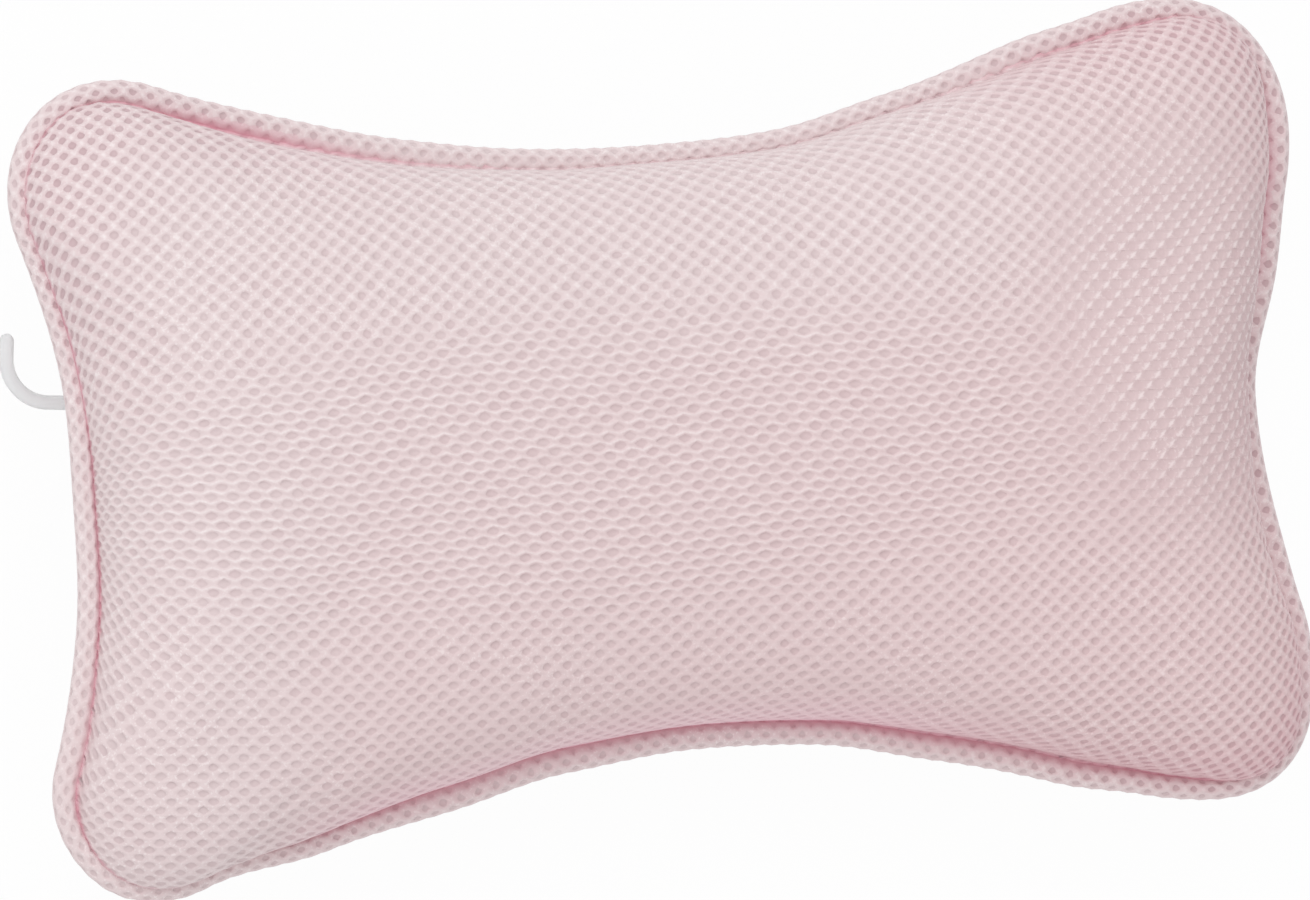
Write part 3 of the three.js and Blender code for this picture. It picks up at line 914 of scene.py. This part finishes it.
    lifted = times(tree, smooth, entry["Knot lift"])
    sunk = join_xyz(tree, 0.0, 0.0, maths(tree, "SUBTRACT", lifted, slit))
    sheet = add(tree, "GeometryNodeSetPosition", sheet, at_knot, None, sunk).outputs[0]
    on_border = maths(tree, "LESS_THAN", recess, 0.4)
    lean = stored(tree, "lean", "FLOAT")
    aside = times(tree, lean, smooth, entry["Knot lean"])
    leaning = join_xyz(tree, aside, 0.0, times(tree, maths(tree, "ABSOLUTE", lean), lifted))
    sheet = add(tree, "GeometryNodeSetPosition", sheet, on_border, None, leaning).outputs[0]
    at = split_xyz(tree, here)
    low = times(tree, between(tree, at[1], *FLAT_CUT_UP), between(tree, at[0], *FLAT_CUT_ALONG))
    flatter = times(tree, maths(tree, "ADD", entry["Yarn rise"], entry["Rim drop"]), -0.8)
    lower = join_xyz(tree, 0.0, 0.0, times(tree, low, flatter))
    sheet = add(tree, "GeometryNodeSetPosition", sheet, on_border, None, lower).outputs[0]
    knot_recess = times(tree, taut, 0.7)
    yarn_recess = linear(tree, taut, 0.0, 1.0, 0.2, 0.0)
    beside = maths(tree, "MULTIPLY_ADD", maths(tree, "ABSOLUTE", lean), -0.33, 0.25)
    yarn_recess = maths(tree, "MULTIPLY_ADD", beside, smooth, yarn_recess)
    depth = add(tree, "ShaderNodeMix", at_knot, data_type="FLOAT")
    tree.links.new(yarn_recess, depth.inputs[2])
    tree.links.new(knot_recess, depth.inputs[3])
    sheet = store(tree, sheet, "recess", "FLOAT", on_border, depth.outputs[0])

    finish = add(tree, "GeometryNodeSetMaterial", sheet)
    tree.links.new(entry["Finish"], finish.inputs["Material"])
    out = tree.nodes.new("NodeGroupOutput")
    tree.links.new(finish.outputs[0], out.inputs[0])
    return tree


def vector_length(tree, value):
    return add(tree, "ShaderNodeVectorMath", value, operation="LENGTH").outputs["Value"]


def store(tree, geometry, name, kind, selection, value):
    node = add(tree, "GeometryNodeStoreNamedAttribute", geometry, selection, data_type=kind, domain="POINT")
    node.inputs["Name"].default_value = name
    socket = next(s for s in node.inputs if s.name == "Value" and s.enabled)
    if isinstance(value, bpy.types.NodeSocket):
        tree.links.new(value, socket)
    else:
        socket.default_value = value
    return node.outputs[0]


def stored(tree, name, kind):
    node = add(tree, "GeometryNodeInputNamedAttribute", data_type=kind)
    node.inputs["Name"].default_value = name
    return next(s for s in node.outputs if s.name == "Attribute" and s.enabled)


def grow(name, seed, tree, values):
    """The plain mesh that a node tree makes from a seed mesh."""
    carrier = new_object(name, seed)
    modifier = carrier.modifiers.new(tree.name, "NODES")
    modifier.node_group = tree
    for item in tree.interface.items_tree:
        if item.in_out == "INPUT" and item.name in values:
            modifier[item.identifier] = values[item.name]
    return evaluated(carrier)


def staggered_centres(along, up, cell_length, row_gap):
    """Hole centres of a sheet from -along to +along and -up to +up."""
    centres = []
    rows = int(up / row_gap) + 1
    columns = int(along / cell_length) + 1
    for j in range(-rows, rows + 1):
        for i in range(-columns, columns + 1):
            centres.append(((i + 0.5 * (j % 2)) * cell_length, j * row_gap, 0.0))
    return centres


def wander(sheet):
    """Slight waviness of the rows, and cells drawn closer where the cloth is slack, at the corners."""
    sheet = sheet.copy()
    sheet[:, :2] *= 1 - CORNER_SLACK * (sheet[:, :1] ** 2 + sheet[:, 1:2] ** 2)
    u, v = sheet[:, 0].copy(), sheet[:, 1].copy()
    sheet[:, 0] += FABRIC_WANDER * (np.sin(v * 95 + 1.3) + 0.6 * np.sin(u * 140 + v * 60 + 0.4))
    sheet[:, 1] += FABRIC_WANDER * (np.sin(u * 80 + 0.7) + 0.6 * np.sin(u * 50 - v * 150 + 2.1))
    return sheet


def panel_cover(name, face, tree, finish):
    """Spacer mesh over one stuffed face, cut off at the seam."""
    along, up = SHEET_MARGIN * np.abs(face.flat).max(axis=0)
    cell_length = SPACER_MESH["Cell length"]
    centres = np.array(staggered_centres(along, up, cell_length, SPACER_MESH["Row gap"]))
    spots = wander(centres)
    kept = [c for c, spot in zip(centres, spots) if face.tree.find_nearest(Vector(spot))[3] < cell_length]
    mesh = grow(name, new_mesh(name, kept, []), tree, {**SPACER_MESH, "Finish": finish})
    place, spot, edge, outside = face.carry(wander(vertex_array(mesh)))
    mesh.vertices.foreach_set("co", place.ravel())
    set_values(mesh, "edge", edge)
    low, high = spot.min(axis=0), spot.max(axis=0)
    on_map = 0.01 + 0.98 * (spot - low) / (high - low).max()
    set_bake_map(mesh, on_map[corner_points(mesh)])
    with reshaped(mesh) as shell:
        shell.verts.ensure_lookup_table()
        cut = [f for f in shell.faces if all(outside[v.index] > 1e-7 for v in f.verts)]
        bmesh.ops.delete(shell, geom=cut, context="FACES")
    return mesh


# Piping

def piping_path():
    """Closed centre line of the piping: place and outward, with the distance along it."""
    outline = seam_outline(PATH_POINTS)
    outline = np.vstack([outline, outline[:1]])
    line = np.column_stack([outline[:, :2] - outline[:, 2:4] * PIPING_RADIUS, outline[:, 2:4]])
    steps = np.hypot(*np.diff(line[:, :2], axis=0).T)
    return line, np.concatenate([[0], np.cumsum(steps)])


def along_path(line, travelled, distance):
    distance = np.mod(distance, travelled[-1])
    found = np.column_stack([np.interp(distance, travelled, column) for column in line.T])
    out = found[:, 2:4] / np.linalg.norm(found[:, 2:4], axis=1)[:, None]
    return found[:, :2], out


def round_path(place, out, turn, radius, wider=1.0):
    """Points round a path: turn 0 faces out, a quarter turn faces the front. The inner half may be wider."""
    across = radius * np.cos(turn)
    across = np.where(across < 0, across * wider, across)
    return np.column_stack([place + out * across[:, None], SEAM_Z + radius * np.sin(turn)])


def piping_cover(tree, finish):
    """Strip of spacer mesh wrapped round the cord and joined along its inner side."""
    line, travelled = piping_path()
    whole = travelled[-1]
    columns = round(whole / STRIP_CELL_LENGTH)
    cell_length = whole / columns
    width = 2 * math.pi * PIPING_RADIUS
    row_gap = width / STRIP_ROWS
    centres = [((i + 0.5 * (j % 2)) * cell_length, (j - STRIP_ROWS / 2) * row_gap, 0.0)
               for j in range(STRIP_ROWS) for i in range(columns)]
    strip = {**SPACER_MESH, **STRIP_MESH, "Cell length": cell_length, "Row gap": row_gap, "Finish": finish}
    mesh = grow("piping", new_mesh("piping", centres, []), tree, strip)
    sheet = vertex_array(mesh)
    place, out = along_path(line, travelled, sheet[:, 0])
    turn = sheet[:, 1] / PIPING_RADIUS
    outline = seam_outline(PATH_POINTS)
    steps = np.arange(PATH_POINTS) / PATH_POINTS
    share = np.mod(sheet[:, 0] / whole, 1)
    shown, faint = (np.interp(share, steps, outline[:, k], period=1) for k in (SHOWN, FAINT))
    wider = 1 + STRIP_PRESS_SHARE * np.maximum(shown - STRIP_PRESS_FROM, 0) / PIPING_RADIUS
    from_seam = PIPING_RADIUS * (math.pi - np.abs(turn))
    raised = np.interp(from_seam, (STRIP_FLAT_FROM, STRIP_FLAT_TO), (0.0, 1.0))
    relief = raised * (sheet[:, 2] - SPACER_MESH["Yarn rise"])
    mesh.vertices.foreach_set("co", round_path(place, out, turn, PIPING_RADIUS + relief, wider).ravel())
    recess = np.zeros(len(sheet))
    mesh.attributes["recess"].data.foreach_get("value", recess)
    mesh.attributes["recess"].data.foreach_set("value", recess * (0.5 + 0.5 * raised))
    # Painted shade on the strip: strong beside its seam and gone past its middle, with no deeper edge colour on
    # its outer side
    shade_from = (STRIP_SHADE_FROM, STRIP_SHADE_TO, STRIP_PALE_FROM, PIPING_RADIUS * math.pi)
    shade_edge = (STRIP_SHADE_EASE, SEAM_SHADE_WIDTH, 0.7 * STRIP_PALE_EDGE, STRIP_PALE_EDGE)
    set_values(mesh, "edge", np.interp(from_seam, shade_from, shade_edge) + SEAM_SHADE_WIDTH * faint)
    set_values(mesh, "strip", np.ones(len(sheet)))
    set_bake_map(mesh, banded_map(mesh, sheet, whole, width, cell_length))
    with reshaped(mesh) as shell:
        bmesh.ops.remove_doubles(shell, verts=shell.verts, dist=SPACER_MESH["Weld gap"])
    return mesh


def banded_map(mesh, sheet, whole, width, cell_length):
    """The long strip cut into bands, which lie one above the other on its map."""
    band_length = whole / STRIP_BANDS
    corner = corner_points(mesh)
    on_map = np.zeros((len(corner), 2))
    for face in mesh.polygons:
        loops = list(face.loop_indices)
        cut = sheet[corner[loops], :2]
        band = min(STRIP_BANDS - 1, max(0, int(cut[:, 0].mean() / band_length)))
        along = cut[:, 0] - band * band_length + cell_length
        on_map[loops, 0] = 0.01 + 0.96 * along / (band_length + 2 * cell_length)
        on_map[loops, 1] = (band + 0.5 + 0.8 * cut[:, 1] / width) / STRIP_BANDS
    return on_map


def piping_cord(finish):
    """Three-strand filler cord inside the piping."""
    line, travelled = piping_path()
    turns = round(travelled[-1] / CORD_TWIST)
    turn = full_turn(CORD_SIDES)
    rings = []
    for k in range(CORD_STEPS):
        share = k / CORD_STEPS
        place, out = along_path(line, travelled, np.full(CORD_SIDES, share * travelled[-1]))
        strand = np.abs(np.cos(1.5 * (turn - share * turns * 2 * math.pi / 3)))
        rings.append(round_path(place, out, turn, CORD_RADIUS * (0.8 + 0.2 * strand)))
    mesh = new_mesh("piping_filler_cord", np.vstack(rings), closed_ring_faces(CORD_STEPS, CORD_SIDES))
    mesh.materials.append(finish)
    return mesh


def stuffing_body(front, back, finish):
    """Closed pad of fibre just under the mesh."""
    layers = []
    for grid in (front.grid, back.grid):
        inward = np.concatenate([grid[-1, :, :2], np.full((grid.shape[1], 1), SEAM_Z)], axis=1) - grid
        layers.append(grid + inward * (FABRIC_THICKNESS / np.linalg.norm(inward, axis=2))[:, :, None])
    rings = np.concatenate([layers[0][::-1], layers[1]])[:, ::2]
    mesh = new_mesh("fibre_stuffing", rings.reshape(-1, 3), grid_faces(len(rings), rings.shape[1], -1))
    with reshaped(mesh) as shell:
        bmesh.ops.remove_doubles(shell, verts=shell.verts, dist=STUFFING_WELD)
        bmesh.ops.dissolve_degenerate(shell, edges=shell.edges, dist=1e-5)
        bmesh.ops.recalc_face_normals(shell, faces=shell.faces)
    mesh.materials.append(finish)
    return mesh


# Webbing tabs and their stitches

def tab_surface(back, centre_x):
    """Heights of a tab's inner side: on the back at its sewn ends, flat at the cup's neck between."""
    seat_tree = BVHTree.FromPolygons(back.place.tolist(), back.triangles.tolist())

    def height(x, y):
        hit = seat_tree.ray_cast(Vector((x + centre_x, y + CUP_Y, 0.0)), Vector((0, 0, 1)))[0]
        seat = hit.z - TAB_GAP
        sewn_from = TAB_LENGTH / 2 - TAB_SEWN_LENGTH
        ease = min(1, max(0, (abs(y) - TAB_FLAT_LENGTH / 2) / (sewn_from - TAB_FLAT_LENGTH / 2)))
        ease = ease * ease * (3 - 2 * ease)
        return (TAB_Z + TAB_THICKNESS) * (1 - ease) + seat * ease

    return height


def webbing_tab(name, height, centre_x, finish):
    """Woven strap with a hole for the cup's neck: the warp's ribs run along it and the weft crosses them."""
    columns, rows = round(TAB_WIDTH / TAB_GRID), round(TAB_LENGTH / TAB_GRID)
    across = np.linspace(-TAB_WIDTH / 2, TAB_WIDTH / 2, columns + 1)
    along = np.linspace(-TAB_LENGTH / 2, TAB_LENGTH / 2, rows + 1)
    x, y = np.meshgrid(across, along)
    x, y = x.ravel(), y.ravel()
    far = np.hypot(x, y)
    inside = far < TAB_HOLE_RADIUS
    near = far < TAB_HOLE_RADIUS + 0.45 * TAB_GRID
    grow_out = np.where(near, TAB_HOLE_RADIUS / np.maximum(far, 1e-6), 1.0)
    x, y = x * grow_out, y * grow_out
    count = len(x)
    top = np.array([height(a, b) for a, b in zip(x, y)])
    rib = np.sin(math.pi * x / WEBBING_RIB) ** 2
    cross = np.sin(math.pi * (y / WEBBING_PICK + np.floor(x / WEBBING_RIB) / 2)) ** 2
    rise = 0.25 + 0.75 * rib * (0.35 + 0.65 * cross)
    edge = np.minimum(1, (TAB_WIDTH / 2 - np.abs(x)) / (2 * TAB_GRID))
    relief = WEBBING_RELIEF * rise * edge
    place = np.column_stack([x + centre_x, y + CUP_Y, top])
    upper = place + np.column_stack([0 * x, 0 * x, -WEBBING_RELIEF + relief])
    lower = place + np.column_stack([0 * x, 0 * x, -TAB_THICKNESS + WEBBING_RELIEF - relief])
    faces = []
    for j in range(rows):
        for i in range(columns):
            a = j * (columns + 1) + i
            face = [a, a + 1, a + columns + 2, a + columns + 1]
            if not all(inside[face] | near[face]):
                faces.append(face)
    sides = dict.fromkeys(side for face in faces for side in zip(face, face[1:] + face[:1]))
    walls = [[start + count, stop + count, stop, start]
             for start, stop in sides if (stop, start) not in sides]
    lower_faces = [[v + count for v in face[::-1]] for face in faces]
    mesh = new_mesh(name, np.vstack([upper, lower]), faces + lower_faces + walls)
    set_values(mesh, "rise", np.concatenate([rise, rise]))
    with reshaped(mesh) as shell:
        bmesh.ops.delete(shell, geom=[v for v in shell.verts if not v.link_faces], context="VERTS")
        bmesh.ops.recalc_face_normals(shell, faces=shell.faces)
    mesh.materials.append(finish)
    return mesh


def stitch_tree():
    """Thread ovals set end to end along every path of the seed mesh."""
    tree = bpy.data.node_groups.new("stitches", "GeometryNodeTree")
    tree.interface.new_socket("Paths", in_out="INPUT", socket_type="NodeSocketGeometry")
    for size in ("Stitch pitch", "Stitch length", "Thread width"):
        tree.interface.new_socket(size, in_out="INPUT", socket_type="NodeSocketFloat")
    tree.interface.new_socket("Finish", in_out="INPUT", socket_type="NodeSocketMaterial")
    tree.interface.new_socket("Stitches", in_out="OUTPUT", socket_type="NodeSocketGeometry")
    entry = tree.nodes.new("NodeGroupInput").outputs
    paths = add(tree, "GeometryNodeMeshToCurve", entry["Paths"]).outputs[0]
    steps = add(tree, "GeometryNodeResampleCurve", paths)
    steps.mode = "LENGTH"
    tree.links.new(entry["Stitch pitch"], steps.inputs["Length"])
    oval = add(tree, "GeometryNodeMeshUVSphere", 8, 6, 0.5).outputs[0]
    size = join_xyz(tree, entry["Stitch length"], entry["Thread width"], entry["Thread width"])
    oval = add(tree, "GeometryNodeTransform", oval)
    tree.links.new(size, oval.inputs["Scale"])
    tangent = tree.nodes.new("GeometryNodeInputTangent").outputs[0]
    turn = add(tree, "FunctionNodeAlignRotationToVector", axis="X")
    tree.links.new(tangent, turn.inputs["Vector"])
    stitches = add(tree, "GeometryNodeInstanceOnPoints", steps.outputs[0])
    tree.links.new(oval.outputs[0], stitches.inputs["Instance"])
    tree.links.new(turn.outputs[0], stitches.inputs["Rotation"])
    thread = add(tree, "GeometryNodeRealizeInstances", stitches.outputs[0]).outputs[0]
    finish = add(tree, "GeometryNodeSetMaterial", thread)
    tree.links.new(entry["Finish"], finish.inputs["Material"])
    out = tree.nodes.new("NodeGroupOutput")
    tree.links.new(finish.outputs[0], out.inputs[0])
    return tree


def stitch_paths(name, height, centre_x):
    """Box stitch at each sewn end of a tab and a ring round its hole, on the tab's outer side."""
    lines = []
    inner = TAB_LENGTH / 2 - TAB_SEWN_LENGTH + STITCH_MARGIN
    outer = TAB_LENGTH / 2 - STITCH_MARGIN
    wide = TAB_WIDTH / 2 - STITCH_MARGIN
    for side in (-1, 1):
        low, high = sorted((side * inner, side * outer))
        box = [(-wide, low), (wide, low), (wide, high), (-wide, high)]
        lines += [(box[k], box[(k + 1) % 4]) for k in range(4)]
        lines += [(box[0], box[2]), (box[1], box[3])]
    points, edges = [], []
    for start, stop in lines:
        first = len(points)
        for share in np.linspace(0.04, 0.96, 14):
            points.append((np.array(start) * (1 - share) + np.array(stop) * share).tolist())
        edges += [(k, k + 1) for k in range(first, len(points) - 1)]
    first = len(points)
    reach = TAB_HOLE_RADIUS + STITCH_MARGIN
    for k, angle in enumerate(full_turn(RING_STITCH_STEPS)):
        points.append([reach * math.cos(angle), reach * math.sin(angle)])
        edges.append((first + k, first + (k + 1) % RING_STITCH_STEPS))
    place = [(x + centre_x, y + CUP_Y, height(x, y) - TAB_THICKNESS + STITCH_SINK) for x, y in points]
    mesh = bpy.data.meshes.new(name)
    mesh.from_pydata(place, edges, [])
    return mesh


# Suction cups and hooks

def rounded(profile, radius, steps=5):
    """A profile with its sharp corners rounded off."""
    result = [profile[0]]
    for before, here, after in zip(profile, profile[1:], profile[2:]):
        back, ahead = before - here, after - here
        back_length, ahead_length = np.linalg.norm(back), np.linalg.norm(ahead)
        if back @ ahead / (back_length * ahead_length) < -0.9:
            result.append(here)
            continue
        start = here + back * min(0.45, radius / back_length)
        stop = here + ahead * min(0.45, radius / ahead_length)
        for k in range(steps + 1):
            share = k / steps
            result.append((1 - share) ** 2 * start + 2 * share * (1 - share) * here + share ** 2 * stop)
    result.append(profile[-1])
    return np.array(result)


def bent(start, pull, stop, steps=14):
    share = np.linspace(0, 1, steps + 1)[:, None]
    start, pull, stop = np.array(start), np.array(pull), np.array(stop)
    return (1 - share) ** 2 * start + 2 * share * (1 - share) * pull + share ** 2 * stop


def suction_cup(name, centre_x, finish, turns=CUP_TURNS):
    """Bell with a flat lip, a neck and a mushroom head, turned about the cup's axis."""
    pull = (CUP_RADIUS + SHOULDER_RADIUS) / 2 - LIP_THICKNESS
    top = HEAD_Z + HEAD_HEIGHT
    profile = rounded(np.vstack([
        bent((0, CUP_HOLLOW), (pull - LIP_WIDTH / 2, CUP_HOLLOW), (CUP_RADIUS - LIP_WIDTH, 0)),
        [(CUP_RADIUS, 0)],
        bent((CUP_RADIUS, LIP_THICKNESS), (pull, CUP_HEIGHT - CUP_HOLLOW), (SHOULDER_RADIUS, CUP_HEIGHT)),
        [(NECK_RADIUS, CUP_HEIGHT), (NECK_RADIUS, HEAD_Z)],
        bent((HEAD_RADIUS, HEAD_Z), (HEAD_RADIUS, top), (0, top)),
    ]), CUP_EDGE_RADIUS)
    angle = full_turn(turns)
    points = []
    for radius, z in profile:
        radius = max(radius, 1e-6)
        points.append(np.column_stack([centre_x + radius * np.cos(angle), CUP_Y + radius * np.sin(angle),
                                       np.full(turns, z)]))
    mesh = new_mesh(name, np.vstack(points), grid_faces(len(profile), turns, 1))
    with reshaped(mesh) as shell:
        bmesh.ops.remove_doubles(shell, verts=shell.verts, dist=3e-6)
        bmesh.ops.recalc_face_normals(shell, faces=shell.faces)
    mesh.materials.append(finish)
    return mesh


def tube(rings):
    """Tube through a list of rings, with a flat cap at each end."""
    sides = len(rings[0])
    faces = grid_faces(len(rings), sides, 1)
    faces.append(list(range(sides))[::-1])
    faces.append([(len(rings) - 1) * sides + i for i in range(sides)])
    return np.vstack(rings), faces


def hook_form():
    """Rod of a hook about its eye: arm along -X, quarter bend, short upright tip with a round end."""
    centre, lean = [], []
    tip_x = -HOOK_ARM - HOOK_BEND_RADIUS
    for x in np.linspace(-EYE_RADIUS, -HOOK_ARM, 40):
        centre.append((x, 0.0))
        lean.append(math.pi)
    for angle in np.linspace(0, math.pi / 2, 30)[1:]:
        x = -HOOK_ARM - HOOK_BEND_RADIUS * math.sin(angle)
        centre.append((x, HOOK_BEND_RADIUS * (1 - math.cos(angle))))
        lean.append(math.pi - angle)
    for y in np.linspace(0, HOOK_TIP, 6)[1:]:
        centre.append((tip_x, HOOK_BEND_RADIUS + y))
        lean.append(math.pi / 2)
    radii = [ROD_RADIUS] * len(centre)
    for angle in np.linspace(0, math.pi / 2, 9)[1:]:
        centre.append((tip_x, HOOK_BEND_RADIUS + HOOK_TIP + ROD_RADIUS * math.sin(angle)))
        lean.append(math.pi / 2)
        radii.append(max(ROD_RADIUS * math.cos(angle), 0.00005))
    turn = full_turn(ROD_SIDES)
    rings = []
    for (x, y), angle, radius in zip(centre, lean, radii):
        out = np.array([-math.sin(angle), math.cos(angle), 0.0])
        rings.append(np.array([x, y, 0.0]) + radius * (np.cos(turn)[:, None] * out
                                                       + np.sin(turn)[:, None] * np.array([0, 0, 1.0])))
    return tube(rings)


def eye_form():
    """Ring of a hook, which goes round its cup's neck."""
    points = []
    for around in full_turn(EYE_STEPS):
        for turn in full_turn(ROD_SIDES):
            reach = EYE_RADIUS + ROD_RADIUS * math.cos(turn)
            points.append((reach * math.cos(around), reach * math.sin(around), ROD_RADIUS * math.sin(turn)))
    return np.array(points), closed_ring_faces(EYE_STEPS, ROD_SIDES)


def moulded_hook(name, side, finish):
    """Rod and eye run into one moulded hook, then set on its cup."""
    rod, rod_faces = hook_form()
    eye, eye_faces = eye_form()
    joined = new_mesh(name, np.vstack([rod, eye]), rod_faces + [[v + len(rod) for v in f] for f in eye_faces])
    with reshaped(joined) as shell:
        bmesh.ops.recalc_face_normals(shell, faces=shell.faces)
    carrier = new_object(name, joined)
    blend = carrier.modifiers.new("one_moulding", "REMESH")
    blend.mode = "VOXEL"
    blend.voxel_size = HOOK_VOXEL
    ease = carrier.modifiers.new("eased_joint", "SMOOTH")
    ease.factor = 0.5
    ease.iterations = 5
    mesh = evaluated(carrier)
    place = vertex_array(mesh)
    if side > 0:
        place = place * np.array([-1, 1, -1])
    tilt = side * HOOK_TILT
    turned = np.column_stack([
        place[:, 0] * math.cos(tilt) - place[:, 1] * math.sin(tilt),
        place[:, 0] * math.sin(tilt) + place[:, 1] * math.cos(tilt),
        place[:, 2],
    ])
    mesh.vertices.foreach_set("co", (turned + np.array([side * CUP_X, CUP_Y, EYE_Z])).ravel())
    mesh.materials.clear()
    mesh.materials.append(finish)
    return mesh


# Floor, light and camera

def white_floor():
    corners = [(x * FLOOR_REACH, y * FLOOR_REACH, FLOOR_Z) for x, y in ((-1, -1), (1, -1), (1, 1), (-1, 1))]
    floor = new_object("floor", new_mesh("floor", corners, [[0, 1, 2, 3]]))
    finish = bpy.data.materials.new("white_floor")
    finish.use_nodes = True
    tree = finish.node_tree
    tree.nodes.clear()
    grain = noise(tree, object_place(tree), 30.0)
    tint = mix_colour(tree, times(tree, grain, 0.05), (0.9, 0.9, 0.9), (0.85, 0.85, 0.85))
    matte = tree.nodes.new("ShaderNodeBsdfDiffuse")
    tree.links.new(tint, matte.inputs["Color"])
    glow = tree.nodes.new("ShaderNodeEmission")
    glow.inputs["Color"].default_value = (1, 1, 1, 1)
    glow.inputs["Strength"].default_value = 1.0
    ray = tree.nodes.new("ShaderNodeLightPath").outputs
    seen = maths(tree, "MAXIMUM", ray["Is Camera Ray"], ray["Is Glossy Ray"])
    seen = maths(tree, "MAXIMUM", seen, ray["Is Transmission Ray"])
    blend = tree.nodes.new("ShaderNodeMixShader")
    tree.links.new(times(tree, seen, 0.96), blend.inputs[0])
    tree.links.new(matte.outputs[0], blend.inputs[1])
    tree.links.new(glow.outputs[0], blend.inputs[2])
    out = tree.nodes.new("ShaderNodeOutputMaterial")
    tree.links.new(blend.outputs[0], out.inputs[0])
    floor.data.materials.append(finish)


def soft_lamp(name, place, aim, size, power):
    lamp = bpy.data.lights.new(name, "AREA")
    lamp.size = size
    lamp.energy = power
    holder = bpy.data.objects.new(name, lamp)
    holder.location = place
    holder.rotation_euler = (Vector(aim) - Vector(place)).to_track_quat("-Z", "Y").to_euler()
    bpy.context.scene.collection.objects.link(holder)


def studio():
    world = bpy.data.worlds.new("studio")
    bpy.context.scene.world = world
    world.use_nodes = True
    sky = world.node_tree.nodes["Background"]
    sky.inputs["Color"].default_value = (1.0, 1.0, 1.0, 1.0)
    sky.inputs["Strength"].default_value = WORLD_STRENGTH
    middle = (0.0, 0.0, SEAM_Z)
    soft_lamp("key_light", (-0.70, 1.40, 2.0), middle, 1.8, 22.8)
    soft_lamp("fill_light", (-1.1, -1.5, 1.4), middle, 2.2, 7.0)
    bpy.context.scene.view_settings.view_transform = "Standard"


def photo_camera():
    """Long lens, turned 20 degrees to the cushion's left and a little up, as the picture is taken."""
    yaw, pitch, roll = math.radians(20.0), 0.0652, 0.0665
    distance, pixels, photo_width = 5.0, 4046.9, 1310.0
    across, up = 20.20, -2.14
    turn = Matrix.Rotation(roll, 3, "Z") @ Matrix.Rotation(pitch, 3, "X") @ Matrix.Rotation(yaw, 3, "Y")
    right, above, back = turn[0], turn[1], turn[2]
    camera = bpy.data.cameras.new("photo_camera")
    camera.sensor_fit = "HORIZONTAL"
    camera.sensor_width = 36.0
    camera.lens = pixels * distance * camera.sensor_width / photo_width
    camera.clip_end = 50.0
    holder = bpy.data.objects.new("photo_camera", camera)
    place = Vector((0, 0, SEAM_Z)) + distance * back - across / pixels * right + up / pixels * above
    pose = Matrix((right, above, back)).transposed().to_4x4()
    pose.translation = place
    holder.matrix_world = pose
    bpy.context.scene.collection.objects.link(holder)
    bpy.context.scene.camera = holder


def dress(name, mesh, body, slot, *nodes):
    shade_smooth(mesh)
    piece = new_object(name, mesh)
    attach(piece, body)
    if nodes:
        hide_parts(*nodes)
    return piece


# Colours of the mesh, linear: the glint is a painted highlight, the plain yarn and hollow are the cloth's own,
# and the other pinks are painted shade near the seam
glint_pink = (0.95, 0.88, 0.88)
yarn_pink = (0.780, 0.658, 0.665)
edge_shade_yarn_pink = (0.765, 0.595, 0.612)
hollow_pink = (0.710, 0.593, 0.601)
edge_shade_hollow_pink = (0.58, 0.405, 0.43)
seam_shade_pink = (0.70, 0.30, 0.38)
low_seam_shade_pink = (1.0, 0.56, 0.70)
cover_finish = spacer_mesh_finish("pink_spacer_mesh", glint_pink, yarn_pink, edge_shade_yarn_pink, hollow_pink,
                                  edge_shade_hollow_pink, seam_shade_pink, low_seam_shade_pink)
fabric_tree = perforated_fabric_tree()

faces = {}
for panel, side, crown in (("front", 1, FRONT_CROWN), ("back", -1, BACK_CROWN)):
    stuffed = refined(stuff(panel + "_panel_form", sewn_panel(side, crown), side))
    faces[panel] = StuffedFace(with_flange(stuffed, side), side)
    cover = panel_cover(panel + "_mesh_cover", faces[panel], fabric_tree, cover_finish)
    piece = dress(panel + "_mesh_cover", cover, "cushion", "mesh_fabric", panel + "_panel")

strip = piping_cover(fabric_tree, cover_finish)
dress("mesh_piping", strip, "cushion", "piping_fabric", "piping_cover")
cord_white = fibre_finish("cord_cotton", (0.80, 0.77, 0.74), 900.0)
dress("piping_filler_cord", piping_cord(cord_white), "cushion", "cord", "piping_cord")
fill_white = fibre_finish("fibre_fill", (0.90, 0.88, 0.85), 220.0)
fibre = stuffing_body(faces["front"], faces["back"], fill_white)
stuffing = dress("fibre_stuffing", fibre, "cushion", "fill", "fill_core")

vinyl, frosted, webbing, thread = clear_vinyl_finish(), frosted_finish(), webbing_finish(), thread_finish()
stitching = stitch_tree()
stitch_sizes = {"Stitch pitch": STITCH_PITCH, "Stitch length": STITCH_LENGTH, "Thread width": THREAD_WIDTH}
for end, side in (("left", -1), ("right", 1)):
    cup_x = side * CUP_X
    height = tab_surface(faces["back"], cup_x)
    tab = webbing_tab(end + "_webbing", height, cup_x, webbing)
    dress(end + "_webbing", tab, "cushion", "webbing", end + "_tab")
    paths = stitch_paths(end + "_tab_stitches", height, cup_x)
    sewn = grow(end + "_tab_stitches", paths, stitching, {**stitch_sizes, "Finish": thread})
    dress(end + "_tab_stitches", sewn, "cushion", "webbing")
    cup = suction_cup(end + "_clear_cup", cup_x, vinyl)
    dress(end + "_clear_cup", cup, end + "_cup", "clear_pvc", end + "_suction_cup")
    hook = moulded_hook(end + "_moulded_hook", side, frosted)
    dress(end + "_moulded_hook", hook, end + "_hook", "hook_plastic", end + "_hook")

white_floor()
studio()
photo_camera()
